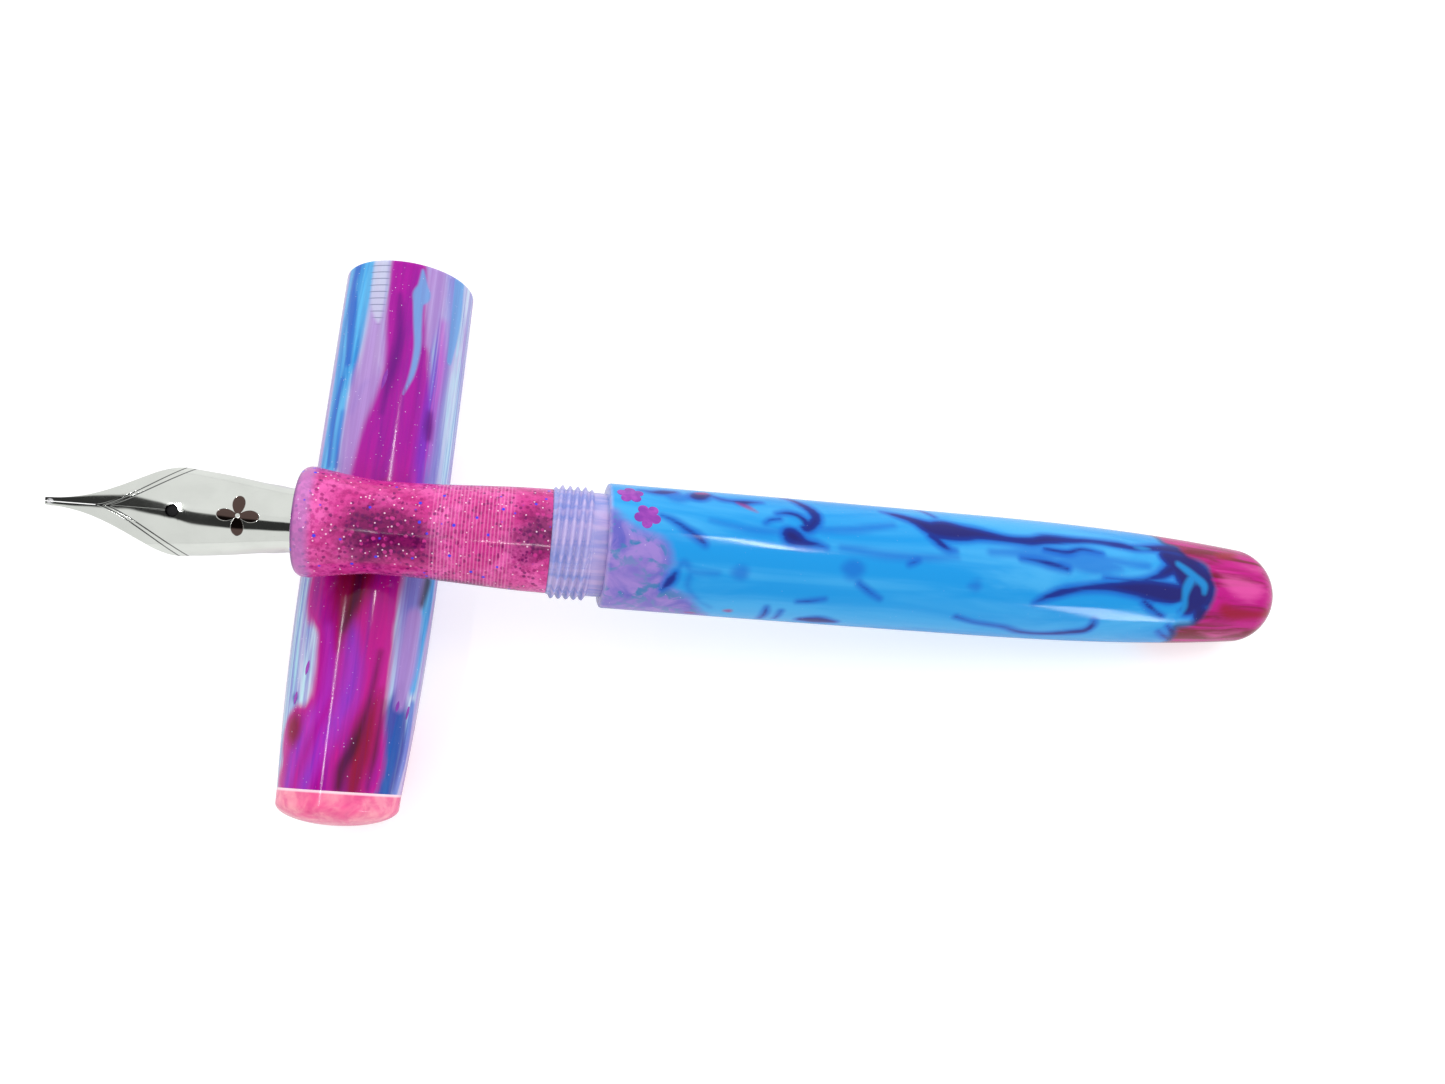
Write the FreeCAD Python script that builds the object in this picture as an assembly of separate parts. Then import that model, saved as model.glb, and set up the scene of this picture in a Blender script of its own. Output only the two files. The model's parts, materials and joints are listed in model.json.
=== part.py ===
import FreeCAD, Part
import math
import os

# Fountain pen with its screw cap off. The cap lies on its side, and the pen lies across it,
# with the nib in the air and the end of the barrel on the table.
#
# Row frame: +X from the nib towards the barrel end, +Y along the cap towards its mouth, +Z up,
# origin at the middle of the footprint, on the table. Sizes are in millimetres.
#
# Every pen piece is turned about the pen axis and drawn as (station, radius), where station is
# the distance behind the nib tip. Cap pieces are drawn the same way, with stations counted
# from the closed end of the cap. Both are put in their place at the end.

V = FreeCAD.Vector

# ---- lying pose -------------------------------------------------------------------------
CAP_YAW_DEG = 1.8           # the cap mouth leans towards +X
CAP_CROSS_STATION = 29.9    # cap station that the pen crosses
PEN_CROSS_STATION = 27.4    # pen station that lies above the cap axis
REST_GAP = 0.02             # the pen stays this far off the cap and the table

# ---- cap --------------------------------------------------------------------------------
CAP_RADIUS = 7.30
CAP_TAPER_START = 28.0      # station where the straight side begins to draw in
CAP_TAIL_RADIUS = 6.36      # at the finial joint
CAP_MOUTH_ROUND = 0.40
FINIAL_LENGTH = 3.6
FINIAL_SIDE = 1.5           # straight side before the dome
FINIAL_SPIGOT_RADIUS = 3.5
FINIAL_SPIGOT_LENGTH = 2.0
CAP_WALL_END = 2.7          # solid resin between the bore and the finial
CAP_BORE_ROOM = 0.25        # round the section
CAP_NOSE_ROOM = 0.60        # round the nib, in the deeper and narrower part of the bore
NIB_ROOM_AHEAD = 2.4        # from the nib tip to the bottom of the bore, cap on

# ---- barrel -----------------------------------------------------------------------------
BARREL_SHOULDER_RADIUS = 6.64
BARREL_BELLY_RADIUS = 6.85
BARREL_BELLY_AT = 43.0      # behind the shoulder
BARREL_DOME_RADIUS = 5.50     # where the dome begins
BARREL_DOME_LENGTH = 4.3
BARREL_TAPER = 0.10         # slope of the side where the dome begins
BARREL_LENGTH = 79.8        # shoulder to end
BARREL_BORE_ROOM = 0.56     # bore radius beyond the converter sleeve
BARREL_END_WALL = 6.3

# ---- cap thread, on the front of the barrel and in the cap mouth ---------------------------
THREAD_PITCH = 0.80
THREAD_COUNT = 5            # ridges on the barrel
THREAD_HEIGHT = 0.45        # root to crest
NECK_WALL = 0.79            # barrel neck, from the socket of the tenon out to the roots
THREAD_RELIEF_STEP = 0.05   # relief radius inside the roots
THREAD_RELIEF_LENGTH = 1.4
THREAD_LEAD_IN = 0.3
CAP_THREAD_MINOR_ROOM = 0.15  # cap ridges outside the barrel roots
CAP_THREAD_MAJOR_ROOM = 0.08  # cap grooves outside the barrel crests

# ---- section ------------------------------------------------------------------------------
NIB_EXPOSED = 23.0          # nib tip to the front face of the section
SECTION_LENGTH = 24.9       # front face to the barrel
SECTION_FACE_RADIUS = 4.70
SECTION_LIP_LENGTH = 1.4
SECTION_LIP_RADIUS = 5.60
SECTION_WAIST_RADIUS = 4.80
SECTION_WAIST_AT = 8.8      # behind the front face
SECTION_REAR_RADIUS = 5.50
TENON_LENGTH = 5.5          # threaded tenon that screws into the barrel
TENON_WALL = 0.55           # under the thread roots
TENON_THREAD_DEPTH = 0.30
TENON_CLEARANCE = 0.06
CONVERTER_ROOM_ROUND = 0.25  # section bore radius beyond the converter tube

# ---- nib, feed and housing ------------------------------------------------------------------
NIB_LENGTH = 35.0
NIB_SHEET = 0.30
NIB_BASE_RADIUS = 3.25
NIB_WRAP_DEG = 100.0        # half the wrap of the base round the feed
NIB_ROLL_DEG = -12.0        # nib and feed are turned this far about the pen axis, towards the cap finial
NIB_SHOULDER_AT = 11.8
NIB_SHOULDER_HALF_WIDTH = 4.35
NIB_SHOULDER_BEND = 4.9     # radius of the sheet across the shoulders
SLIT_WIDTH = 0.08
BREATHER_AT = 11.9
BREATHER_RADIUS = 0.58
TIPPING_RADIUS = 0.42
TIPPING_LENGTH = 1.1
TIP_HEIGHT = 0.55           # crown of the nib at its tip, above the pen axis
FEED_GAP = 0.02
FEED_FRONT_AT = 4.6
FEED_FIN_PITCH = 0.75
FEED_FIN_SLOT = 0.28
FEED_FIN_COUNT = 11
FEED_SPINE = 2.2            # from the crown of the nib down to the bottom of the slots
FEED_STEM_END = 36.0
HOUSING_FLANGE_STEP = 0.35  # flange radius beyond the housing
HOUSING_FLANGE_LENGTH = 0.8
HOUSING_RECESS = 0.3        # flange set back from the section face
HOUSING_WALL = 0.47         # under the thread roots
HOUSING_THREAD_DEPTH = 0.23
HOUSING_LENGTH = 17.7
HOUSING_FIT = 0.03
NIPPLE_RADIUS = 1.40
NIPPLE_LENGTH = 4.5
INK_CHANNEL = 0.55

# ---- converter --------------------------------------------------------------------------------
TUBE_RADIUS = 3.60
TUBE_WALL = 0.50
ROOM_BEHIND_KNOB = 14.22    # from the knob to the bottom of the barrel bore
MOUTH_WALL = 5.0            # thick front end that grips the nipple
SLEEVE_WALL = 0.33
SLEEVE_LENGTH = 13.0
SLEEVE_OVERLAP = 4.0        # sleeve over tube
GUIDE_LENGTH = 1.9
KNOB_RADIUS = 3.60
KNOB_LENGTH = 15.8
KNOB_NECK_STEP = 0.30       # neck radius inside the tube radius
KNOB_END_WALL = 0.8
KNOB_FLUTES = 18
ROD_RADIUS = 1.50
ROD_ROOT = 1.25
ROD_FLAT = 1.15             # half the distance between the flats
ROD_PITCH = 1.0
ROD_PAST_TUBE = 5.0         # rod end behind the tube, piston forward
SEAL_AT = 7.6               # front of the seal, behind the converter mouth
SEAL_LENGTH = 4.0
SEAL_NOSE_RADIUS = 0.90
PART_GAP = 0.04             # running gap between converter pieces

# ---- flakes cast in the resin -------------------------------------------------------------------
FLAKE_DEPTH = 0.15
FLOWER_RADIUS = 1.30
FLOWERS = [(2.1, 42.6), (3.8, 17.4)]                # (behind the shoulder, degrees from the top)
SLIVERS = [(14.7, 36.0, 1.9), (13.3, -71.7, 0.9)]   # and the length of the sliver
SLIVER_WIDTH = 0.45
CAP_SLIVERS = [(47.9, 3.0, 2.6), (15.9, -29.7, 1.6), (12.8, -40.3, 1.5), (12.7, 55.2, 1.2),
               (12.3, 70.0, 1.8)]                    # (cap station, degrees, length)

# ---- places that follow -----------------------------------------------------------------------
NIB_INSIDE = NIB_BASE_RADIUS - NIB_SHEET
FEED_CORE = NIB_INSIDE - FEED_GAP
HOUSING_ROOT = NIB_BASE_RADIUS + HOUSING_WALL
HOUSING_RADIUS = HOUSING_ROOT + HOUSING_THREAD_DEPTH
HOUSING_FLANGE_RADIUS = HOUSING_RADIUS + HOUSING_FLANGE_STEP
TUBE_BORE = TUBE_RADIUS - TUBE_WALL
SLEEVE_BORE = TUBE_RADIUS + 0.01
SLEEVE_RADIUS = SLEEVE_BORE + SLEEVE_WALL
KNOB_NECK_RADIUS = TUBE_RADIUS - KNOB_NECK_STEP
SECTION_REAR_BORE = TUBE_RADIUS + CONVERTER_ROOM_ROUND
TENON_ROOT = SECTION_REAR_BORE + TENON_WALL
TENON_CREST = TENON_ROOT + TENON_THREAD_DEPTH
SOCKET_RADIUS = TENON_CREST + TENON_CLEARANCE
THREAD_ROOT = SOCKET_RADIUS + NECK_WALL
THREAD_CREST = THREAD_ROOT + THREAD_HEIGHT
THREAD_RELIEF_RADIUS = THREAD_ROOT - THREAD_RELIEF_STEP
BARREL_BORE_RADIUS = SLEEVE_RADIUS + BARREL_BORE_ROOM

FACE = NIB_EXPOSED
JUNCTION = FACE + SECTION_LENGTH
THREAD_START = JUNCTION + THREAD_LEAD_IN
THREAD_END = THREAD_START + THREAD_COUNT * THREAD_PITCH
SHOULDER = THREAD_END + THREAD_RELIEF_LENGTH
BARREL_END = SHOULDER + BARREL_LENGTH
BORE_END = BARREL_END - BARREL_END_WALL
HOUSING_FRONT = FACE + HOUSING_RECESS
HOUSING_REAR = HOUSING_FRONT + HOUSING_LENGTH
CONVERTER_FRONT = HOUSING_REAR + PART_GAP
KNOB_REAR = BORE_END - ROOM_BEHIND_KNOB
KNOB_FRONT = KNOB_REAR - KNOB_LENGTH
SLEEVE_REAR = KNOB_FRONT - PART_GAP
SLEEVE_FRONT = SLEEVE_REAR - SLEEVE_LENGTH
TUBE_REAR = SLEEVE_FRONT + SLEEVE_OVERLAP
GUIDE_FRONT = TUBE_REAR + PART_GAP
GUIDE_REAR = GUIDE_FRONT + GUIDE_LENGTH
CAP_THREAD_MINOR = THREAD_ROOT + CAP_THREAD_MINOR_ROOM
CAP_THREAD_MAJOR = THREAD_CREST + CAP_THREAD_MAJOR_ROOM
CAP_BORE_RADIUS = SECTION_LIP_RADIUS + CAP_BORE_ROOM
CAP_NOSE_BORE_RADIUS = NIB_SHOULDER_HALF_WIDTH + CAP_NOSE_ROOM
CAP_BORE_BOTTOM = FINIAL_LENGTH + CAP_WALL_END
CAP_LENGTH = CAP_BORE_BOTTOM + NIB_ROOM_AHEAD + SHOULDER
CAP_STEP = CAP_LENGTH - SHOULDER + FACE - 1.5       # bore widens just ahead of the section


# ---- turning ------------------------------------------------------------------------------------
def point(station, radius):
    return V(station, 0, radius)


def arc(a, middle, b):
    return Part.Arc(point(*a), point(*middle), point(*b)).toShape()


def curve(points, first_direction, last_direction):
    """A smooth edge through the points, with its direction set at both ends."""
    spline = Part.BSplineCurve()
    spline.interpolate(Points=[point(*p) for p in points],
                       InitialTangent=first_direction, FinalTangent=last_direction)
    return spline.toShape()


def turned(items):
    """Turn a closed outline of points and edges about the pen axis. Lines join what is apart."""
    edges = []
    first = None
    last = None
    for item in items:
        is_edge = isinstance(item, Part.Shape)
        start = item.valueAt(item.FirstParameter) if is_edge else point(*item)
        if last is not None and last.distanceToPoint(start) > 1e-6:
            edges.append(Part.makeLine(last, start))
        if is_edge:
            edges.append(item)
        first = first or start
        last = item.valueAt(item.LastParameter) if is_edge else start
    if last.distanceToPoint(first) > 1e-6:
        edges.append(Part.makeLine(last, first))
    face = Part.Face(Part.Wire(edges))
    return face.revolve(V(0, 0, 0), V(1, 0, 0), 360)


def rod(start, end, radius):
    return Part.makeCylinder(radius, end - start, V(start, 0, 0), V(1, 0, 0))


def ridges(start, count, pitch, root, crest):
    """Outline points of thread ridges with narrow flats on their crests and roots."""
    points = []
    for turn in range(count):
        left = start + turn * pitch
        points += [(left + 0.08 * pitch, root), (left + 0.42 * pitch, crest),
                   (left + 0.58 * pitch, crest), (left + 0.92 * pitch, root)]
    return points


# ---- section, barrel and cap ------------------------------------------------------------------------
def section_side():
    return curve([(FACE + SECTION_LIP_LENGTH, SECTION_LIP_RADIUS),
                  (FACE + SECTION_WAIST_AT, SECTION_WAIST_RADIUS),
                  (JUNCTION, SECTION_REAR_RADIUS)], V(1, 0, 0), V(1, 0, 0.02))


def section_lip():
    lean = 0.3 * SECTION_LIP_LENGTH
    bulge = SECTION_FACE_RADIUS + 0.72 * (SECTION_LIP_RADIUS - SECTION_FACE_RADIUS)
    return arc((FACE, SECTION_FACE_RADIUS), (FACE + lean, bulge),
               (FACE + SECTION_LIP_LENGTH, SECTION_LIP_RADIUS))


def make_section():
    tenon_start = JUNCTION + 0.6
    count = int((TENON_LENGTH - 1.0) / THREAD_PITCH)
    recess = HOUSING_FLANGE_RADIUS + TENON_CLEARANCE
    floor = HOUSING_FRONT + HOUSING_FLANGE_LENGTH
    bore = HOUSING_RADIUS + HOUSING_FIT
    return turned([(FACE, recess), section_lip(), section_side(), (JUNCTION, TENON_ROOT)]
                  + ridges(tenon_start, count, THREAD_PITCH, TENON_ROOT, TENON_CREST)
                  + [(JUNCTION + TENON_LENGTH, TENON_ROOT),
                     (JUNCTION + TENON_LENGTH, SECTION_REAR_BORE),
                     (HOUSING_REAR + 0.3, SECTION_REAR_BORE), (HOUSING_REAR, bore), (floor, bore),
                     (floor, recess)])


def barrel_side():
    """The edge from the shoulder to the dome and the edge of the dome."""
    tail = BARREL_END - BARREL_DOME_LENGTH
    dome = []
    for angle in (0, 25, 50, 72, 90):
        reach = BARREL_DOME_LENGTH * math.sin(math.radians(angle))
        radius = (BARREL_DOME_RADIUS - BARREL_TAPER * reach) * math.cos(math.radians(angle))
        dome.append((tail + reach, radius))
    side = [(SHOULDER + 0.3, BARREL_SHOULDER_RADIUS), (SHOULDER + BARREL_BELLY_AT, BARREL_BELLY_RADIUS),
            dome[0]]
    return [curve(side, V(1, 0, 0.004), V(1, 0, -BARREL_TAPER)),
            curve(dome, V(1, 0, -BARREL_TAPER), V(0, 0, -1))]


def make_barrel():
    socket_end = JUNCTION + TENON_LENGTH + 0.4
    chamfer = 0.15
    return turned([(JUNCTION, SOCKET_RADIUS), (JUNCTION, THREAD_ROOT - chamfer),
                   (JUNCTION + chamfer, THREAD_ROOT)]
                  + ridges(THREAD_START, THREAD_COUNT, THREAD_PITCH, THREAD_ROOT, THREAD_CREST)
                  + [(THREAD_END, THREAD_RELIEF_RADIUS), (SHOULDER, THREAD_RELIEF_RADIUS),
                     (SHOULDER, BARREL_SHOULDER_RADIUS - 0.3)] + barrel_side()
                  + [(BORE_END, 0), (BORE_END - 0.5 * BARREL_BORE_RADIUS, BARREL_BORE_RADIUS),
                     (socket_end, BARREL_BORE_RADIUS), (socket_end, SOCKET_RADIUS)])


def cap_side():
    drop = CAP_RADIUS - CAP_TAIL_RADIUS
    run = CAP_TAPER_START - FINIAL_LENGTH
    bend = (run * run + drop * drop) / (2 * drop)
    half = 0.5 * run
    middle = CAP_RADIUS - (bend - math.sqrt(bend * bend - half * half))
    return arc((FINIAL_LENGTH, CAP_TAIL_RADIUS), (CAP_TAPER_START - half, middle),
               (CAP_TAPER_START, CAP_RADIUS))


def make_cap_body():
    spigot_end = FINIAL_LENGTH + FINIAL_SPIGOT_LENGTH
    thread_top = CAP_LENGTH - THREAD_RELIEF_LENGTH
    grooves = ridges(thread_top - (THREAD_COUNT + 2) * THREAD_PITCH, THREAD_COUNT + 2, THREAD_PITCH,
                     CAP_THREAD_MINOR, CAP_THREAD_MAJOR)
    step = CAP_BORE_RADIUS - CAP_NOSE_BORE_RADIUS
    return turned([(FINIAL_LENGTH, FINIAL_SPIGOT_RADIUS), cap_side(),
                   (CAP_LENGTH - CAP_MOUTH_ROUND, CAP_RADIUS), (CAP_LENGTH, CAP_RADIUS - CAP_MOUTH_ROUND),
                   (CAP_LENGTH, CAP_THREAD_MAJOR), (thread_top, CAP_THREAD_MAJOR - 0.05)]
                  + grooves[::-1]
                  + [(thread_top - (THREAD_COUNT + 2) * THREAD_PITCH, CAP_BORE_RADIUS),
                     (CAP_STEP, CAP_BORE_RADIUS), (CAP_STEP - step, CAP_NOSE_BORE_RADIUS),
                     (CAP_BORE_BOTTOM + 0.6, CAP_NOSE_BORE_RADIUS),
                     (CAP_BORE_BOTTOM, CAP_NOSE_BORE_RADIUS - 0.6), (CAP_BORE_BOTTOM, 0),
                     (spigot_end, 0), (spigot_end, FINIAL_SPIGOT_RADIUS)])


def make_finial():
    spigot_end = FINIAL_LENGTH + FINIAL_SPIGOT_LENGTH
    side = FINIAL_LENGTH - FINIAL_SIDE
    side_radius = CAP_TAIL_RADIUS - 0.06
    dome = [(side * (1 - math.cos(math.radians(angle))), side_radius * math.sin(math.radians(angle)))
            for angle in (0, 18, 40, 65, 90)]
    return turned([curve(dome, V(0, 0, 1), V(1, 0, 0)), (FINIAL_LENGTH, CAP_TAIL_RADIUS),
                   (FINIAL_LENGTH, FINIAL_SPIGOT_RADIUS), (spigot_end, FINIAL_SPIGOT_RADIUS),
                   (spigot_end, 0)])


# ---- nib, feed and housing --------------------------------------------------------------------------
# Rows of (station, half width, radius of the bend across, height of the crown above the pen axis).
CROWN_RISE = NIB_BASE_RADIUS - TIP_HEIGHT
NIB_ROWS = [(0.0, 0.36, 2.2, TIP_HEIGHT),
            (1.7, 0.48, 3.0, TIP_HEIGHT + 0.10 * CROWN_RISE),
            (3.4, 0.80, 3.7, TIP_HEIGHT + 0.21 * CROWN_RISE),
            (5.1, 1.34, 4.4, TIP_HEIGHT + 0.34 * CROWN_RISE),
            (6.9, 2.12, 5.0, TIP_HEIGHT + 0.49 * CROWN_RISE),
            (8.7, 3.06, 5.3, TIP_HEIGHT + 0.65 * CROWN_RISE),
            (10.3, 3.90, 5.2, TIP_HEIGHT + 0.77 * CROWN_RISE),
            (NIB_SHOULDER_AT, NIB_SHOULDER_HALF_WIDTH, NIB_SHOULDER_BEND, TIP_HEIGHT + 0.86 * CROWN_RISE),
            (13.6, NIB_SHOULDER_HALF_WIDTH - 0.10, 4.68, TIP_HEIGHT + 0.93 * CROWN_RISE),
            (16.6, NIB_BASE_RADIUS + 0.70, NIB_BASE_RADIUS + 0.97, NIB_BASE_RADIUS - 0.06),
            (19.8, NIB_BASE_RADIUS + 0.25, NIB_BASE_RADIUS + 0.37, NIB_BASE_RADIUS - 0.01)]
NIB_STRAIGHT_AT = FACE - 0.8    # the nib is a plain split tube behind here


def nib_row(station):
    """The nib's half width, bend and crown at any station, on straight lines between rows."""
    rows = NIB_ROWS + [(NIB_STRAIGHT_AT, NIB_BASE_RADIUS, NIB_BASE_RADIUS, NIB_BASE_RADIUS)]
    for left, right in zip(rows, rows[1:]):
        if station <= right[0]:
            share = (station - left[0]) / (right[0] - left[0])
            return [a + (b - a) * share for a, b in zip(left[1:], right[1:])]
    return rows[-1][1:]


def across(station, bend, centre_height, angle):
    """A point on the arc across the pen, at an angle in radians from the top."""
    return V(station, bend * math.sin(angle), centre_height + bend * math.cos(angle))


def across_arc(station, bend, centre_height, half_angle):
    ends = [across(station, bend, centre_height, a) for a in (-half_angle, 0, half_angle)]
    return Part.Arc(*ends).toShape()


def nib_ring(station, half_width, bend, crown):
    half_angle = min(math.asin(min(1.0, half_width / bend)), math.radians(89))
    if station >= NIB_STRAIGHT_AT:
        half_angle = math.radians(NIB_WRAP_DEG)
    centre = crown - bend
    outer = across_arc(station, bend, centre, half_angle)
    inner = across_arc(station, bend - NIB_SHEET, centre, half_angle)
    sides = [Part.makeLine(across(station, bend, centre, a), across(station, bend - NIB_SHEET, centre, a))
             for a in (-half_angle, half_angle)]
    return Part.Wire([outer, sides[1], inner, sides[0]])


def slit_cutter():
    return Part.makeBox(BREATHER_AT + 2, SLIT_WIDTH, 8, V(-2, -0.5 * SLIT_WIDTH, -3))


def make_tipping():
    pellet = Part.makeSphere(TIPPING_RADIUS)
    stretch = FreeCAD.Matrix()
    stretch.A11 = 0.5 * TIPPING_LENGTH / TIPPING_RADIUS
    pellet = pellet.transformGeometry(stretch)
    pellet.translate(V(0.5 * TIPPING_LENGTH, 0, TIP_HEIGHT - 0.28))
    return pellet.cut(slit_cutter())


def make_nib_blank():
    """The bent sheet before it is slit and pierced."""
    straight = (NIB_BASE_RADIUS, NIB_BASE_RADIUS, NIB_BASE_RADIUS)
    blade = Part.makeLoft([nib_ring(*row) for row in NIB_ROWS]
                          + [nib_ring(NIB_STRAIGHT_AT, *straight)], True, False)
    base = Part.makeLoft([nib_ring(NIB_STRAIGHT_AT, *straight), nib_ring(NIB_LENGTH, *straight)],
                         True, True)
    return blade.fuse(base).removeSplitter()


def make_nib(blank, tipping):
    breather = Part.makeCylinder(BREATHER_RADIUS, 10, V(BREATHER_AT, 0, -2), V(0, 0, 1))
    return blank.cut(slit_cutter()).cut(breather).cut(tipping)


# Rows of (station, half width, depth of the keel below the pen axis) of the feed under the nib.
FEED_ROWS = [(FEED_FRONT_AT, 0.19 * FEED_CORE, -0.08 * FEED_CORE), (7.5, 0.39 * FEED_CORE, 0.15 * FEED_CORE),
             (11.0, 0.63 * FEED_CORE, 0.49 * FEED_CORE), (15.0, 0.80 * FEED_CORE, 0.75 * FEED_CORE),
             (19.0, 0.89 * FEED_CORE, 0.90 * FEED_CORE),
             (NIB_STRAIGHT_AT, 0.93 * FEED_CORE, 0.97 * FEED_CORE)]


def feed_ring(station, half_width, keel):
    nib_half, bend, crown = nib_row(station)
    top = bend - NIB_SHEET - FEED_GAP
    centre = crown - bend
    half_angle = math.asin(half_width / top)
    upper = across_arc(station, top, centre, half_angle)
    edge = across(station, top, centre, half_angle)
    lower = Part.Arc(edge, V(station, 0, -keel), V(station, -edge.y, edge.z)).toShape()
    return Part.Wire([upper, lower])


def make_feed(nib_blank):
    blade = Part.makeLoft([feed_ring(*row) for row in FEED_ROWS], True, False)
    for fin in range(FEED_FIN_COUNT):
        station = NIB_STRAIGHT_AT - 0.9 - fin * FEED_FIN_PITCH
        spine = nib_row(station)[2] - FEED_SPINE
        blade = blade.cut(Part.makeBox(FEED_FIN_SLOT, 10, 10, V(station, -5, spine - 10)))
    stem = rod(NIB_STRAIGHT_AT, FEED_STEM_END, FEED_CORE)
    land = rod(FACE, FEED_STEM_END, NIB_BASE_RADIUS - 0.01)
    keep = Part.makeBox(NIB_LENGTH, 10, 10, V(FACE, -5, -10 - 0.32 * NIB_BASE_RADIUS))
    return blade.fuse(stem).fuse(land.common(keep)).cut(nib_blank)


def make_housing():
    bore = NIB_BASE_RADIUS + HOUSING_FIT
    flange_end = HOUSING_FRONT + HOUSING_FLANGE_LENGTH
    thread_count = 12
    thread_pitch = 0.5
    thread_start = HOUSING_REAR - 1.0 - thread_count * thread_pitch
    return turned([(HOUSING_FRONT, bore), (HOUSING_FRONT, HOUSING_FLANGE_RADIUS - 0.1),
                   (HOUSING_FRONT + 0.1, HOUSING_FLANGE_RADIUS), (flange_end, HOUSING_FLANGE_RADIUS),
                   (flange_end, HOUSING_RADIUS), (thread_start, HOUSING_RADIUS)]
                  + ridges(thread_start, thread_count, thread_pitch, HOUSING_ROOT, HOUSING_RADIUS)
                  + [(HOUSING_REAR, HOUSING_ROOT), (HOUSING_REAR, NIPPLE_RADIUS),
                     (HOUSING_REAR + NIPPLE_LENGTH - 0.2, NIPPLE_RADIUS),
                     (HOUSING_REAR + NIPPLE_LENGTH, NIPPLE_RADIUS - 0.2),
                     (HOUSING_REAR + NIPPLE_LENGTH, INK_CHANNEL),
                     (FEED_STEM_END + PART_GAP, INK_CHANNEL), (FEED_STEM_END + PART_GAP, bore)])


# ---- converter ----------------------------------------------------------------------------------------
def make_tube():
    mouth_end = CONVERTER_FRONT + MOUTH_WALL
    grip = NIPPLE_RADIUS + HOUSING_FIT
    return turned([(CONVERTER_FRONT, grip), (CONVERTER_FRONT, TUBE_RADIUS - 0.3),
                   (CONVERTER_FRONT + 0.3, TUBE_RADIUS), (TUBE_REAR, TUBE_RADIUS), (TUBE_REAR, TUBE_BORE),
                   (mouth_end + 0.6, TUBE_BORE), (mouth_end, grip + 0.3), (mouth_end, grip)])


def make_sleeve():
    lip = 0.12
    return turned([(SLEEVE_FRONT, SLEEVE_BORE), (SLEEVE_FRONT, SLEEVE_RADIUS - lip),
                   (SLEEVE_FRONT + lip, SLEEVE_RADIUS), (SLEEVE_REAR - lip, SLEEVE_RADIUS),
                   (SLEEVE_REAR, SLEEVE_RADIUS - lip), (SLEEVE_REAR, SLEEVE_BORE)])


def flatted(shape, half_height):
    """Leave only what lies within half_height above and below the axis."""
    return shape.common(Part.makeBox(400, 40, 2 * half_height, V(-100, -20, -half_height)))


def make_guide():
    ring = rod(GUIDE_FRONT, GUIDE_REAR, TUBE_RADIUS)
    hole = flatted(rod(GUIDE_FRONT - 1, GUIDE_REAR + 1, ROD_RADIUS + PART_GAP), ROD_FLAT + PART_GAP)
    return ring.cut(hole)


def make_knob():
    hollow = ROD_RADIUS + PART_GAP
    round_end = 0.5
    neck_front = GUIDE_REAR + PART_GAP
    body = turned([(neck_front, hollow), (neck_front, KNOB_NECK_RADIUS), (KNOB_FRONT, KNOB_NECK_RADIUS),
                   (KNOB_FRONT, KNOB_RADIUS), (KNOB_REAR - round_end, KNOB_RADIUS),
                   (KNOB_REAR, KNOB_RADIUS - round_end), (KNOB_REAR, 0),
                   (KNOB_REAR - KNOB_END_WALL, 0), (KNOB_REAR - KNOB_END_WALL, hollow)])
    flute_length = 0.6 * KNOB_LENGTH
    flute_front = KNOB_REAR - round_end - 0.4 - flute_length
    for index in range(KNOB_FLUTES):
        angle = math.radians(index * 360 / KNOB_FLUTES)
        centre = V(flute_front, (KNOB_RADIUS + 0.12) * math.sin(angle),
                   (KNOB_RADIUS + 0.12) * math.cos(angle))
        body = body.cut(Part.makeCylinder(0.32, flute_length, centre, V(1, 0, 0)))
    return body


def make_piston_rod():
    front = CONVERTER_FRONT + SEAL_AT + 1.6
    neck_end = CONVERTER_FRONT + SEAL_AT + SEAL_LENGTH
    rear = TUBE_REAR + ROD_PAST_TUBE
    thread_start = neck_end + 1.5
    count = int((rear - thread_start - 0.5) / ROD_PITCH)
    screw = turned([(front, 0), (front, SEAL_NOSE_RADIUS), (neck_end, SEAL_NOSE_RADIUS),
                    (neck_end, ROD_RADIUS), (thread_start, ROD_RADIUS)]
                   + ridges(thread_start, count, ROD_PITCH, ROD_ROOT, ROD_RADIUS)
                   + [(rear, ROD_ROOT), (rear, 0)])
    return flatted(screw, ROD_FLAT)


def make_seal():
    front = CONVERTER_FRONT + SEAL_AT
    rear = front + SEAL_LENGTH
    lip = TUBE_BORE - 0.01
    waist = lip - 0.35
    socket = SEAL_NOSE_RADIUS
    return turned([(front, 0), (front + 0.5, lip - 0.5), (front + 0.7, lip), (front + 1.1, lip),
                   (front + 1.5, waist), (rear - 1.1, waist), (rear - 0.8, lip), (rear - 0.3, lip),
                   (rear, lip - 0.4), (rear, socket), (front + 1.6, socket), (front + 1.6, 0)])


# ---- flakes ---------------------------------------------------------------------------------------------
def flower_cutter(radius):
    """A five-petal prism that stands on the pen axis, pointing up."""
    petal = 0.46 * radius
    reach = radius - petal
    prism = Part.makeCylinder(0.4 * radius, 20)
    for index in range(5):
        angle = math.radians(90 + index * 72)
        centre = V(reach * math.cos(angle), reach * math.sin(angle), 0)
        prism = prism.fuse(Part.makeCylinder(petal, 20, centre))
    return prism.removeSplitter()


def sliver_cutter(length):
    """A thin lens, pointed at both ends, that stands on the pen axis."""
    half = 0.5 * length
    bulge = 0.5 * SLIVER_WIDTH
    sides = [Part.Arc(V(-half, 0, 0), V(0, side * bulge, 0), V(half, 0, 0)).toShape() for side in (-1, 1)]
    return Part.Face(Part.Wire(sides)).extrude(V(0, 0, 20))


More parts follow.
